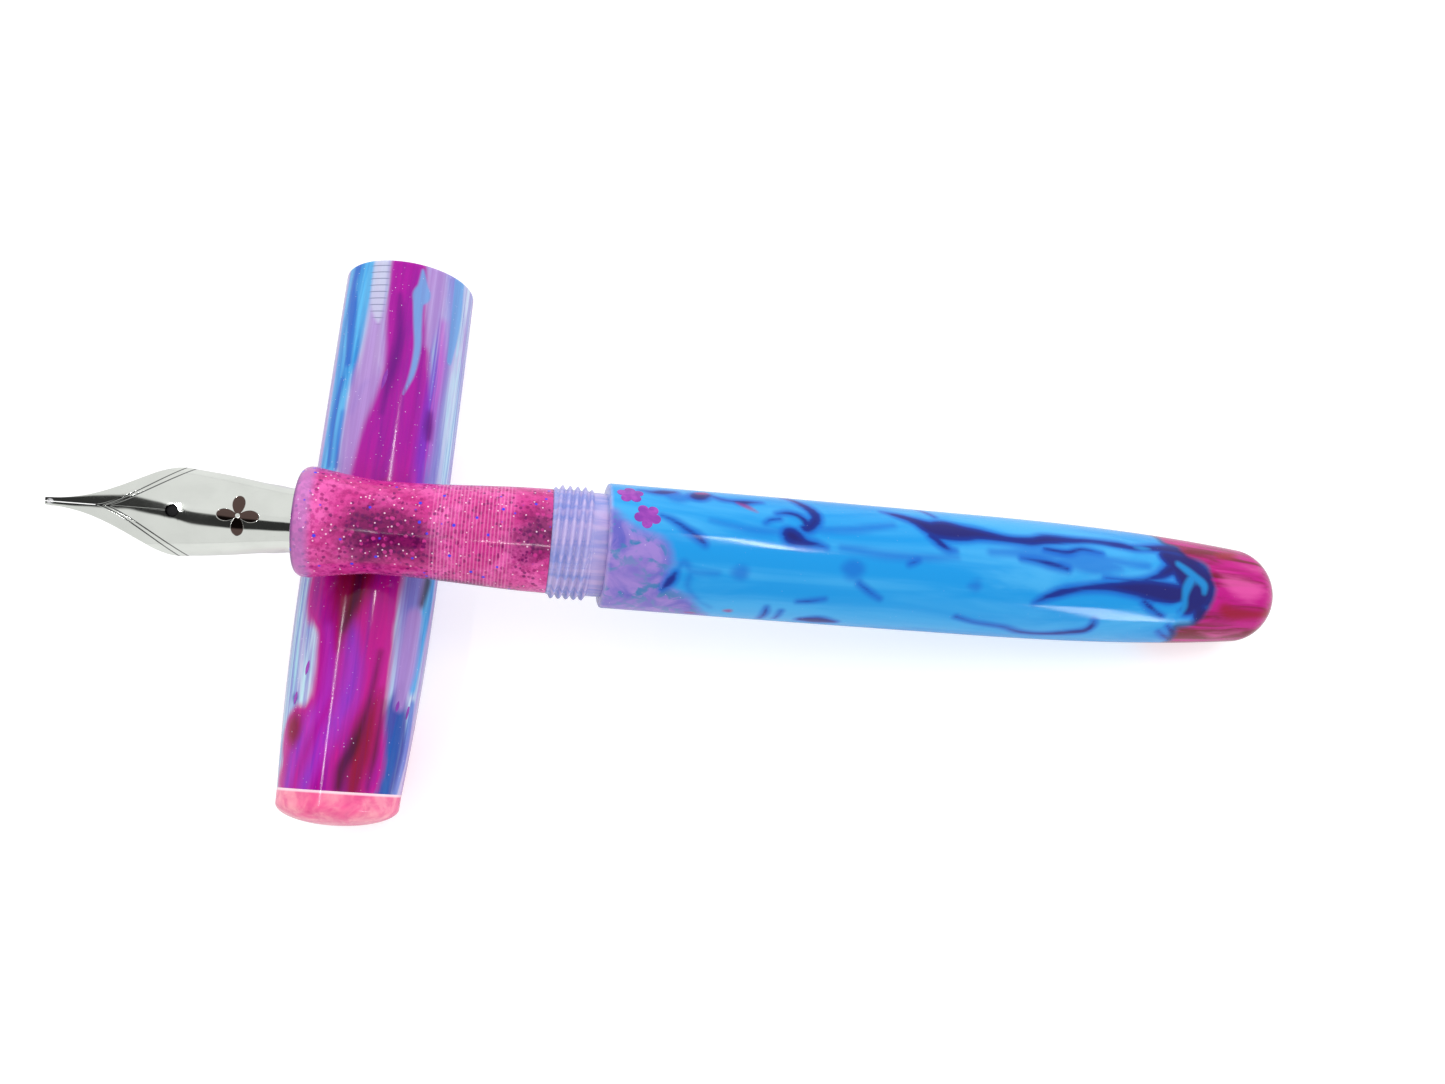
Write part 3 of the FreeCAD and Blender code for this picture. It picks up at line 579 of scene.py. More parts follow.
# ---- finishes ----------------------------------------------------------------------------------
class Finish:
    """A material under way: its tree, its surface, its place on a lathe and the colour laid so far."""

    def __init__(self, name, lathe):
        self.material, self.tree, self.surface = new_material(name)
        self.place = lathe_place(self.tree, lathe)
        self.base = None

    def station(self):
        return add_node(self.tree, "ShaderNodeSeparateXYZ", {0: self.place}).outputs[0]

    def streaks(self, length, width):
        return use(self.tree, "streaks", Place=self.place, Length=length, Width=width)

    def glitter(self, cell, across, share):
        return use(self.tree, "glitter", Place=self.place, Cell=cell, Size=across, Share=share)

    def grain(self, scale):
        return use(self.tree, "grain", Place=self.place, Scale=scale)

    def times(self, one, other):
        return calculate(self.tree, "MULTIPLY", one, other)

    def ease(self, value, low, high, start=0.0, end=1.0):
        return ease(self.tree, value, low, high, start, end)

    def blend(self, share, under, over):
        return mix(self.tree, share, under, over)

    def field(self, name):
        return add_node(self.tree, "ShaderNodeAttribute", attribute_name=name).outputs["Fac"]

    def ruffled(self, streaks, name, reach):
        """A field whose edge wanders with the ruffle of some streaks."""
        return calculate(self.tree, "MULTIPLY_ADD", streaks["Ruffle"], reach * 2, self.field(name))

    def stir(self, tint, field, shift, soft, strength):
        """Stir a tint in where a field is above zero."""
        self.base = use(self.tree, "layer", Under=self.base, Colour=tint, Field=field, Shift=shift,
                        Softness=soft, Strength=strength)["Colour"]

    def lay(self, tint, share, strength=1.0):
        """Lay a tint over what is there, by a share."""
        self.base = self.blend(self.times(share, strength), self.base, tint)

    def polished(self, roughness, dulling, scratches=0.02):
        """Give the surface its colour, and the roughness and faint scratches of handled polish."""
        worn = use(self.tree, "polish", Place=self.place, Roughness=roughness, Dulling=dulling)
        bump = add_node(self.tree, "ShaderNodeBump",
                        {"Strength": scratches, "Distance": 0.00002, "Height": worn["Height"]})
        fill(self.tree, self.surface,
             {"Base Color": self.base, "Roughness": worn["Roughness"], "Normal": bump.outputs[0]})
        return self.material

    def glossy(self, roughness, dulling, coat=0.0):
        """Polish the surface as cast resin."""
        fill(self.tree, self.surface, {**RESIN_GLOSS, "Coat Weight": coat})
        return self.polished(roughness, dulling)


RESIN_GLOSS = {"IOR": 1.5, "Specular IOR Level": 0.28, "Coat Roughness": 0.02, "Coat IOR": 1.45}


def barrel_resin(colours):
    """Sky blue resin with navy ribbons, violet at the thread and magenta at the closed end."""
    resin = Finish("Barrel Resin", PEN)
    wide = resin.streaks(16.0, 2.6)
    fine = resin.streaks(7.0, 0.8)
    navy = resin.ruffled(wide, "navy", 0.12)
    violet = resin.ruffled(wide, "violet", 0.8)
    magenta = resin.ruffled(wide, "magenta", 0.7)
    resin.base = resin.blend(resin.times(wide["Value"], 0.55), colours.sky, colours.pale_sky)
    resin.stir(colours.azure, resin.ruffled(wide, "azure", 0.5), 0.1, 0.6, 0.62)
    resin.stir(colours.violet, violet, 0.0, 0.9, 0.92)
    blots = resin.streaks(1.9, 1.6)
    mottle = resin.blend(blots["Value"], paint(84, 84, 182), paint(160, 128, 204))
    mottle = resin.blend(resin.ease(blots["Ruffle"], 0.0, 0.12), mottle, paint(30, 120, 168))
    resin.stir(mottle, violet, -0.3, 1.0, 0.8)
    resin.stir(colours.lilac, violet, -1.6, 1.6, resin.times(wide["Value"], 0.4))
    resin.stir(colours.azure, navy, 0.30, 0.40, 0.8)
    resin.stir(colours.navy, resin.ruffled(fine, "navy", 0.22), -0.14, 0.22, 0.9)
    resin.stir(colours.night, navy, -0.55, 0.35, 0.7)
    resin.stir(colours.sky, resin.field("island"), 0.0, 0.35, 0.75)
    resin.stir(paint(150, 20, 110), resin.field("red"), 0.0, 0.35, 0.8)
    resin.stir(colours.night, magenta, 0.4, 0.5, 0.75)
    deep = resin.blend(fine["Value"], paint(186, 0, 128), paint(116, 0, 44))
    resin.stir(deep, magenta, -0.35, 0.5, 1.0)
    resin.stir(colours.pink, resin.ruffled(fine, "pink", 0.9), -0.8, 0.9, 0.55)
    resin.stir(colours.crimson, resin.ruffled(wide, "streak", 0.3), 0.1, 0.7, 0.85)
    neck_tint = resin.blend(fine["Value"], paint(206, 182, 224), paint(150, 150, 214))
    resin.lay(neck_tint, resin.ease(resin.station(), 54.1, 53.3), 0.85)
    specks = resin.glitter(0.55, 0.10, 0.16)
    resin.lay((0.95, 0.9, 1.0, 1.0), specks["Mask"], resin.ease(violet, -3.0, 1.0, 0.15, 0.75))
    return resin.glossy(0.10, 0.05)


def cap_resin(colours):
    """Magenta, violet and sky blue pulled along the cap, with a painted reflection near the mouth."""
    resin = Finish("Cap Resin", CAP)
    station = resin.station()
    towards_mouth = resin.ease(station, 30.0, 42.0)
    wide = resin.streaks(16.0, 2.4)
    fine = resin.streaks(9.0, 0.9)
    strands = resin.streaks(22.0, 0.35)

    def stir(tint, name, reach, shift, soft, strength):
        resin.stir(tint, resin.ruffled(wide, name, reach), shift, soft, strength)

    strand_tint = resin.blend(strands["Value"], colours.aqua, paint(112, 132, 212))
    resin.base = resin.blend(wide["Value"], colours.lilac, strand_tint)
    resin.lay((0.86, 0.86, 0.93, 1.0), fine["Value"], 0.35)
    stir(colours.violet, "violet", 0.8, 0.0, 1.0, 0.8)
    stir(resin.blend(fine["Value"], colours.sky, colours.pale_sky), "blue", 0.6, 0.0, 0.5, 0.95)
    stir(colours.pale_sky, "blue", 0.6, -0.9, 0.9, fine["Value"])
    stir(colours.azure, "azure", 0.3, 0.0, 0.35, 0.7)
    stir(resin.blend(towards_mouth, paint(0, 50, 150), paint(14, 104, 205)), "navy", 0.3, 0.0, 0.5, 0.8)
    magenta = resin.blend(towards_mouth, paint(192, 0, 138), paint(172, 0, 156))
    stir(magenta, "magenta", 0.9, 0.0, 0.55, 0.98)
    stir(resin.blend(fine["Value"], magenta, paint(132, 10, 150)), "magenta", 0.9, -0.8, 0.8, 0.7)
    shimmer = resin.blend(fine["Value"], paint(112, 52, 200), paint(196, 50, 190))
    stir(shimmer, "shimmer", 0.6, 0.0, 0.9, 0.75)
    stir(paint(132, 0, 26), "crimson", 0.9, -0.2, 1.0, 0.92)
    stir(colours.lilac, "lilac", 0.5, 0.0, 0.6, 0.85)
    night = resin.blend(towards_mouth, paint(52, 0, 22), paint(92, 0, 122))
    stir(night, "night", 0.45, -0.05, 0.6, 0.85)
    stir(paint(105, 165, 222), "ribbon", 0.15, 0.0, 0.2, 0.85)
    resin.lay(paint(84, 0, 120), strands["Value"], 0.16)
    # Painted reflection: a pale patch near the mouth stands for a lamp's reflection, with the thread's ribs drawn
    # in it as if seen through clear resin.
    stir(paint(196, 200, 226), "thread_window_painted_reflection", 0.2, 0.0, 0.3, 0.8)
    ribs = calculate(resin.tree, "PINGPONG", calculate(resin.tree, "ADD", station, 0.1), 0.4)
    rib_share = resin.times(resin.ease(ribs, 0.10, 0.0), resin.ease(resin.field("thread_window_painted_reflection"), -0.5, 0.2))
    resin.lay(paint(84, 92, 132), rib_share, 0.75)
    specks = resin.glitter(0.42, 0.12, 0.30)
    resin.lay((0.92, 0.85, 1.0, 1.0), specks["Mask"], resin.ease(wide["Ruffle"], -0.1, 0.2, 0.15, 0.85))
    return resin.glossy(0.09, 0.05)


def finial_resin():
    """Coral pink marble, with a pale band at the joint: partly the glue line, partly a painted highlight."""
    resin = Finish("Finial Resin", CAP)
    clouds = resin.streaks(2.0, 2.2)
    veins = resin.streaks(0.8, 1.0)
    resin.base = resin.blend(clouds["Value"], paint(240, 96, 150), paint(250, 160, 178))
    resin.lay(paint(214, 60, 130), veins["Value"], 0.45)
    specks = resin.glitter(0.7, 0.42, 0.2)
    near_speckle = resin.ruffled(clouds, "speckle", 0.8)
    resin.lay(paint(176, 16, 72), specks["Mask"], resin.ease(near_speckle, -0.4, 0.4, 0.1, 0.9))
    # A pale band at the joint with the cap body: partly the glue line, partly a painted highlight along the edge.
    resin.lay((0.95, 0.85, 0.92, 1.0), resin.ease(resin.station(), 3.25, 3.45), 0.7)
    return resin.glossy(0.10, 0.05)


def section_resin(colours):
    """Pink resin full of magenta and violet glitter, with painted shade where the feed and the dark bore would
    show through.
    """
    resin = Finish("Glitter Resin", PEN)
    station = resin.station()
    wide = resin.streaks(3.0, 2.6)
    # Painted shade: where the dark inside would show through the resin, the colour is laid on deep purple, with
    # darker clumps and more dark specks.
    inner_shade = resin.ruffled(wide, "inner_shade", 2.2)
    inner_shade_share = resin.ease(inner_shade, -1.6, 1.8)
    resin.base = resin.blend(wide["Value"], paint(204, 52, 138), paint(232, 96, 176))
    resin.lay(paint(92, 0, 70), inner_shade_share, 0.8)
    clumps = resin.ease(noise(resin.tree, resin.place, 1.5, 5.0, 0.7).outputs[0], 0.42, 0.62)
    resin.lay(resin.blend(inner_shade_share, paint(160, 14, 104), paint(52, 0, 58)), clumps, 0.6)
    grains = resin.glitter(0.52, 0.52, 0.55)
    resin.lay(resin.blend(grains["Pick"], paint(126, 0, 88), paint(214, 60, 150)), grains["Mask"], 0.8)
    dark = resin.glitter(0.46, 0.44, resin.ease(inner_shade, -1.6, 1.4, 0.10, 0.62))
    resin.lay(paint(92, 0, 84), dark["Mask"], 0.7)
    pale = resin.glitter(0.40, 0.22, 0.20)
    resin.lay(paint(255, 214, 238), pale["Mask"], 0.75)
    ring = calculate(resin.tree, "PINGPONG", station, 0.18)
    ribbed = resin.times(resin.ease(station, 35.6, 36.6), resin.ease(station, 44.4, 43.6))
    resin.lay(paint(250, 170, 215), resin.times(ribbed, resin.ease(ring, 0.08, 0.15)), 0.28)
    resin.lay(colours.lilac, resin.ease(station, 25.2, 24.2), 0.5)
    resin.lay(paint(92, 16, 112), resin.ease(station, 23.5, 23.1), 0.75)
    dots = resin.glitter(1.15, 0.42, 0.5)
    resin.lay(paint(66, 60, 226), dots["Mask"])
    return resin.glossy(0.10, 0.06)


def flake_foil():
    """Violet foil flakes."""
    foil = Finish("Flake Foil", PEN)
    clouds = foil.streaks(1.0, 0.8)
    foil.base = foil.blend(clouds["Value"], paint(142, 60, 176), paint(178, 80, 196))
    foil.surface.inputs["Metallic"].default_value = 0.35
    return foil.glossy(0.22, 0.12, coat=0.1)


def bare_steel(name, tint):
    """Bright steel with its faint mottle, ready to be polished."""
    metal = Finish(name, PEN)
    metal.base = metal.blend(metal.grain(6.0)["Mottle"], tint, tuple(0.94 * c for c in tint[:3]) + (1.0,))
    metal.surface.inputs["Metallic"].default_value = 1.0
    return metal


def polished_steel(name, tint, roughness):
    return bare_steel(name, tint).polished(roughness, 0.05, 0.01)


# Engraving of the nib in millimetres: where a line starts, how far aside it ends, and its bow.
NIB_LINES = [(4.9, 4.4, 1.35), (5.7, 4.3, 1.25)]
NIB_LINE_LENGTH = 7.4
NIB_FLOWER_AT = 17.9
NIB_FLOWER_EYE = 0.22
NIB_PETAL = 1.60
NIB_PETAL_WAIST = 0.35


def nib_steel(sizes):
    """Polished steel, engraved with a pair of bowed lines on each side and a four-petal flower, with painted shade
    round the breather hole.
    """
    metal = bare_steel("Nib Steel", (0.90, 0.93, 0.88, 1.0))
    tree = metal.tree
    along, beside, above = add_node(tree, "ShaderNodeSeparateXYZ", {0: metal.place}).outputs
    roll = math.radians(NIB_ROLL_DEG)
    across = calculate(tree, "MULTIPLY_ADD", beside, math.cos(roll), metal.times(above, -math.sin(roll)))
    aside = calculate(tree, "ABSOLUTE", across)

    def around(station):
        """How far behind a point of the nib's middle line each spot lies, and how far from it."""
        back = calculate(tree, "SUBTRACT", along, station)
        squares = [calculate(tree, "POWER", way, 2.0) for way in (back, across)]
        return back, calculate(tree, "SQRT", calculate(tree, "ADD", *squares))

    def engraved_line(start, reach, bow):
        share = calculate(tree, "DIVIDE", calculate(tree, "SUBTRACT", along, start), NIB_LINE_LENGTH)
        share = calculate(tree, "MAXIMUM", share, 0.0)
        path = metal.times(calculate(tree, "POWER", share, bow), reach)
        gap = calculate(tree, "ABSOLUTE", calculate(tree, "SUBTRACT", aside, path))
        return metal.times(metal.ease(gap, 0.10, 0.03), calculate(tree, "GREATER_THAN", along, start))

    lines = calculate(tree, "MAXIMUM", *[engraved_line(*line) for line in NIB_LINES])
    back, distance = around(NIB_FLOWER_AT)
    bearing = calculate(tree, "ARCTAN2", across, back)
    lobes = calculate(tree, "ABSOLUTE", calculate(tree, "COSINE", metal.times(bearing, 2.0)))
    petal = calculate(tree, "MULTIPLY_ADD", lobes, NIB_PETAL, NIB_PETAL_WAIST)
    flower = metal.ease(calculate(tree, "SUBTRACT", petal, distance), -0.03, 0.05)
    flower = metal.times(flower, calculate(tree, "GREATER_THAN", distance, NIB_FLOWER_EYE))
    metal.lay((0.03, 0.03, 0.035, 1.0), lines, 0.9)
    metal.lay(paint(70, 34, 24), flower, 0.93)
    # Painted shade: the steel just round the breather hole is darkened nearly to black, so the hole reads dark.
    from_breather = around(sizes.breather_at)[1]
    metal.lay((0.01, 0.01, 0.012, 1.0), metal.ease(from_breather, 0.66, 0.60))
    material = metal.polished(0.05, 0.05, 0.01)
    cut = add_node(tree, "ShaderNodeBump", {"Strength": 0.5, "Distance": 0.00004,
                                            "Height": calculate(tree, "ADD", lines, flower)}, invert=True)
    tree.links.new(cut.outputs[0], metal.surface.inputs["Normal"])
    return material


def moulded(name, tint, roughness, scale=3.0, extra=None):
    """Moulded plastic with a faint mottle, and extra inputs of its surface by name."""
    plastic = Finish(name, PEN)
    grain = plastic.grain(scale)
    pale = tuple(min(1.0, 1.25 * c + 0.004) for c in tint[:3]) + (1.0,)
    bump = add_node(plastic.tree, "ShaderNodeBump",
                    {"Strength": 0.08, "Distance": 0.00003, "Height": grain["Height"]})
    fill(plastic.tree, plastic.surface,
         {"Base Color": plastic.blend(grain["Mottle"], tint, pale), "Normal": bump.outputs[0],
          "Roughness": roughness, "Coat Weight": 0.2, **(extra or {})})
    return plastic.material


# ---- the stirred pattern -----------------------------------------------------------------------
# Ribbons are (station, degrees, half width), patches are (station, degrees), stations in millimetres.
BARREL_RIBBONS = {
    "navy": [
        [(56.7, 53, .05), (58, 50.5, .3), (59.2, 52, .6), (60.4, 54.5, .35)],
        [(62.2, 46, .3), (63.0, 50, 1.0), (64.0, 54, .5)],
        [(64.4, 52, .2), (65.4, 47, .25), (66.5, 45.5, .2), (67.6, 44.5, .5), (68.4, 46, .35),
         (69.7, 47.5, .04)],
        [(58.8, 19, .05), (60, 15, .2), (61.5, 7, .3), (62.8, 0, .35), (63.4, -5, .15)],
        [(72.4, 65, .2), (73, 63, .35), (74.2, 50, .5), (75.2, 38, .6), (75.3, 28, .7), (74.3, 18, .6),
         (73.6, 20, .15)],
        [(71.2, 32, .15), (72.4, 34, .35), (73.6, 30, .5), (74.3, 22, .5)],
        [(69.8, 20, .04), (70.4, 24, .12), (71.4, 26, .12)],
        [(72.0, 12, .5), (72.6, 9, 1.0), (74, 4, .55), (75.2, 3, .3), (76.3, 1, .05)],
        [(83.3, 50, .1), (85, 45, .5), (86.8, 38, .7), (88.5, 30, 1.2), (90, 30, 1.5), (92, 28.5, 1.2),
         (94, 28, .9),
         (97, 25, .6), (100, 25, .7), (102, 29, .8), (105, 31, .55), (108, 33, .4), (111, 32, .5),
         (113, 30, .45),
         (115.5, 33, .6), (117.5, 34, .9), (119, 33, .8)],
        [(88.2, 22, .5), (89.2, 14, .5), (90, 9, .3), (90.8, 8, .05)],
        [(88, 66, .15), (88.8, 57, .25), (89.4, 48, .15)],
        [(80.2, -29, .1), (81.5, -36, .15), (82.8, -42, .08)],
        [(74, -52, .08), (75.4, -50, .14), (76.8, -47, .06)],
        [(85.5, -8, .06), (86.0, -6, .12), (86.5, -4, .06)],
        [(70.9, -62, .08), (71, -73, .28), (70.8, -86, .15)],
        [(72.6, -66, .1), (72.5, -75, .15), (72.4, -82, .1)],
        [(75.2, -80, .5), (77, -79, .9), (79, -80, .4)],
        [(98.5, 6, .15), (100.5, 5, .3), (102, 3, .4), (104, 0, .3)],
        [(101.5, 18, .3), (104, 16, .35), (106, 21, .3), (108.5, 19, .15)],
        [(100.4, -34, .1), (101.5, -29, .35), (103.5, -22, .5), (106, -17, .45), (109, -14, .6),
         (112, -13, 1.0),
         (114.5, -14, 1.3), (117, -16, 1.4), (118.5, -15, 1.2)],
        [(108.5, -6, .15), (112, -6, .2), (114.5, -2, .4), (116.5, 6, .8), (117.6, 14, .8), (118.3, 24, .5)],
        [(117, 24, 1.2), (119, 12, 2.2), (120.2, -2, 2.4), (120.4, -16, 2.0), (119.6, -28, 1.3)],
        [(120.5, -18, .8), (121.0, -32, 1.0), (121.5, -45, .6)],
        [(92, -56, .1), (94.5, -62, .12), (98, -66, .2), (100.5, -73, .35), (103, -74, .35), (106, -69, .45),
         (108, -63, .5), (108.4, -53, .35), (108.1, -48, .1)],
        [(113.6, -25, .3), (115, -33, .35), (116.5, -40, .2)],
        [(117, -60, .15), (118.5, -70, .3), (119.8, -78, .3)],
        [(117.8, -52, .2), (119, -62, .3), (120, -73, .3)],
        [(60.6, -33, .25), (60.2, -40, .5), (59.5, -50, .15)],
    ],
    "azure": [
        [(59.9, 44, .4), (60.7, 44, .9), (61.5, 44, .4)],
        [(78.6, -17, .4), (79.4, -17, .9), (80.0, -17, .4)],
        [(66.8, -28, .3), (67.4, -28, .7)],
        [(92.7, -23, .2), (93.3, -23, .5)],
        [(60.8, -30, .12), (61.4, -22, .12), (62.4, -30, .12), (65, -30, .08)],
        [(62.2, -32, .15), (62.1, -45, .15), (63.5, -60, .12), (65, -69, .05)],
        [(103, 6, .4), (107, 8, 1.3), (110.5, 5, .4)],
        [(64, 18, .1), (68, 12, .35), (71.5, 12, .3)],
        [(76, 18, .3), (80, 22, .4), (84, 30, .3)],
        [(95, 10, .2), (101, 12, .5), (108, 12, .5), (114, 10, .4)],
        [(78, 2, .1), (84, -2, .3), (91, 2, .1)],
    ],
    "island": [
        [(72.2, 25, .25), (72.9, 25, .6), (73.5, 24, .3)],
        [(113.0, 31, .1), (114, 31, .3), (115.0, 31.5, .1)],
        [(118.2, 16, .4), (119.3, 9, .5), (120.2, 3, .5), (121.2, -4, .5), (121.3, -12, .3)],
        [(119.8, 3, .5), (119.0, -8, .55), (118.8, -18, .4), (118.9, -30, .4), (118.4, -41, .25)],
        [(118.8, -26, .4), (117.0, -32, .45), (115.2, -29, .2)],
    ],
    "red": [
        [(67.0, 43, .05), (68, 38, .28), (69.0, 32, .05)],
        [(63.0, 57, .3), (63.8, 59, .4)],
        [(66.7, -73, .2), (67.1, -73, .35)],
        [(62.8, -85, .2), (63.4, -85, .3)],
    ],
    "streak": [
        [(124.3, -28, .6), (125.5, -33, .8), (127.5, -34, .7), (131, -33, .5)],
        [(124.5, 35, .4), (125.8, 40, .6), (127, 45, .3)],
    ],
    "pink": [
        [(123.4, 12, .6), (125.5, 0, 2.0), (128, -6, 1.9), (129.8, -4, .7)],
        [(126, 28, .5), (129, 24, 1.0), (131, 20, .5)],
        [(122.5, -60, .6), (125, -68, 1.2), (128, -62, .6)],
    ],
}
BARREL_PATCHES = {
    "violet": [[(52.6, 12), (56, 4), (58.5, -1), (59.7, -10), (60, -25), (60.2, -45), (61.5, -52), (63, -60),
                (64, -75), (65, -90), (64, -130), (60, -165), (52.6, -165)]],
    "magenta": [[(118, 100), (117.5, 50), (119, 40), (119.5, 25), (121.8, 18), (122.2, 0), (122.3, -20),
                 (121, -45), (118.6, -52), (119.8, -75), (120, -90), (121, -130), (121, -205), (142, -205),
                 (142, 205), (121, 205)]],
}
BARREL_SWIRLS = {"navy": (-12, 0.4), "azure": (-12, 2.1)}

CAP_RIBBONS = {
    "night": [
        [(4, 12, .5), (6, 13, .6), (8, 20, .6), (10.5, 25, .5), (14, 29, .4), (18, 31, .3)],
        [(4, 38, .15), (8, 40, .22), (13, 41, .1)],
        [(44, 4, .2), (49, 8, .6), (53, 10, .5), (58, 6, .15)],
        [(42.3, 48, .3), (43.5, 47, .5), (45, 46, .3)],
        [(24, 66, .5), (26.5, 70, .8)],
        [(20, -2, .3), (23, 4, .6), (26, 6, .5)],
    ],
    "shimmer": [
        [(4, -20, .8), (7, -10, .9), (10, 0, 1.0), (13, 9, 1.1), (16, 11, 1.0), (19, 7, .8), (21, 3, .5)],
        [(4, -40, .6), (7, -33, .8), (10, -22, .7), (13, -10, .6), (17, -10, .5), (20, -13, .4)],
        [(37, 44, .8), (44, 46, 1.0), (51, 48, .9), (56, 46, .4)],
    ],
    "crimson": [
        [(8.6, -38, .8), (9.5, -38, 1.4), (10.4, -38, .8)],
        [(4, 27, 1.2), (8, 29, 1.5), (12, 33, 1.0), (14, 36, .4)],
        [(18, -4, .3), (21, -2, 1.2), (24, 0, 2.0), (28, 4, 2.2), (33, 10, 1.2), (36, 14, .3)],
    ],
    "navy": [
        [(3, 52, 2.0), (8, 54, 2.6), (12, 55, 1.6), (15, 56, .3)],
        [(37.8, -30, .3), (41, -33, .25), (44, -33, .15)],
        [(12.8, -40, .3), (12.8, -43, .3)],
        [(50, -35, .25), (54, -38, .4), (57, -42, .45), (59.5, -45, .3), (62, -42, .3)],
        [(44, -22, .15), (46.5, -17, .25), (47.5, -12, .1)],
    ],
    "azure": [
        [(4, 74, .6), (8, 78, .9), (13, 76, .5)],
        [(50, -35, .5), (54, -38, .8), (57, -42, .9), (59.5, -45, .5), (62, -42, .5)],
        [(38, -40, .3), (43, -44, .5), (48, -40, .3)],
    ],
    "blue": [
        [(24, 20, .5), (24.4, 21, .9)],
        [(4, 58, .6), (8, 60, .9), (12, 60, .5)],
        [(15, 70, .8), (19, 72, .9), (25, 76, 1.2), (31, 74, .8)],
    ],
    "ribbon": [
        [(46.5, 20, .05), (49, 25, .3), (52, 26.5, .4), (55, 24, .5), (57.5, 22, .6), (58.5, 24, 1.0),
         (59.5, 24, .6),
         (61.5, 22, .15)],
        [(52, 60, .4), (57, 62, .8), (62, 60, .8)],
    ],
    "lilac": [
        [(13, 58, .8), (17, 60, 1.5), (22, 60, 1.2)],
        [(37, -20, .7), (42, -19, .9), (46, -16, 1.2), (50, -14, 1.0), (54, -12, .8), (58, -14, .7)],
        [(53, 36, .5), (57, 37, 1.0), (62, 36, 1.1)],
    ],
    "speckle": [[(1.0, 8, .4), (1.6, 20, 1.0), (1.6, 34, .5)]],
}
CAP_PATCHES = {
    "magenta": [
        [(3.0, -52), (6.5, -56), (9.5, -56), (11.5, -42), (12.5, -25), (15, -22), (17.5, -22), (19.5, -24),
         (21, -35), (24, -40), (28, -36), (33, -24), (37, -16), (43, -8), (46, -3), (50, 1), (55, -3),
         (63, -6),
         (63, 22), (55, 34), (45, 45), (37, 46), (30, 44), (24, 40), (18, 42), (12, 44), (3.0, 44)],
    ],
    "blue": [
        [(33, -30), (37, -32), (47, -30), (52, -22), (63, -22), (63, -56), (47, -54), (37, -54), (31, -48)],
    ],
    "violet": [[(3.0, 44), (14, 46), (26, 44), (36, 46), (46, 48), (55, 50), (63, 46), (63, 66), (50, 62),
                (36, 64),
                (24, 66), (12, 62), (3.0, 60)]],
    # The last patch is the painted reflection near the mouth, where the thread's ribs show through.
    "thread_window_painted_reflection": [[(55.0, -8), (62.8, -8), (62.8, -21), (58, -21), (55.4, -15)]],
}
CAP_SWIRLS = {"magenta": (0, 1.2), "blue": (0, 3.4)}

# Patches of painted shade on the section, where the feed and the dark bore would show through.
SECTION_PATCHES = {
    "inner_shade": [
        [(28, -52), (31, -60), (35, -52), (36.5, -25), (35.5, 2), (32, 12), (28.5, 4), (27.2, -24)],
        [(44.2, -26), (46, -32), (48.2, -30), (48.2, 14), (46, 16), (44.6, 4)],
        [(30, -175), (44, -175), (44, -90), (30, -90)],
    ],
}

# Rows of (station, half width, radius of the bend across, share of the crown's rise) of the nib.
NIB_ROWS = [(0.0, 0.36, 2.2, 0.0), (1.7, 0.48, 3.0, 0.10), (3.4, 0.80, 3.7, 0.21), (5.1, 1.34, 4.4, 0.34),
            (6.9, 2.12, 5.0, 0.49), (8.7, 3.06, 5.3, 0.65), (10.3, 3.90, 5.2, 0.77), (11.8, 4.35, 4.9, 0.86),
            (13.6, 4.25, 4.68, 0.93), (16.6, 3.95, 4.22, 0.977), (19.8, 3.50, 3.62, 0.995),
            (22.2, 3.25, 3.25, 1.0)]
NIB_ROLL_DEG = -12.0
WRAP_START = 19.8       # from here the nib's sheet bends on round the feed
SHEET_COLUMNS = 22


# Hidden sizes in millimetres, with stations counted from the nib tip.
BARREL_TAPER = 0.10         # slope of the barrel's side where it meets the dome
SOCKET_DEPTH = 5.9
TENON_RADIUS = 4.40
TENON_LENGTH = 5.5
TENON_THREAD = 0.30
SECTION_FACE_BORE = 4.36
SECTION_BORE = 3.98
SECTION_BORE_START = 24.1
SECTION_BORE_END = 41.0
SECTION_REAR_BORE = 3.85
SECTION_MEAN_RADIUS = 5.2   # turns degrees into lengths on the section
THREAD_REACH = 0.02         # how far off its radius a vertex may lie to be raised into a thread


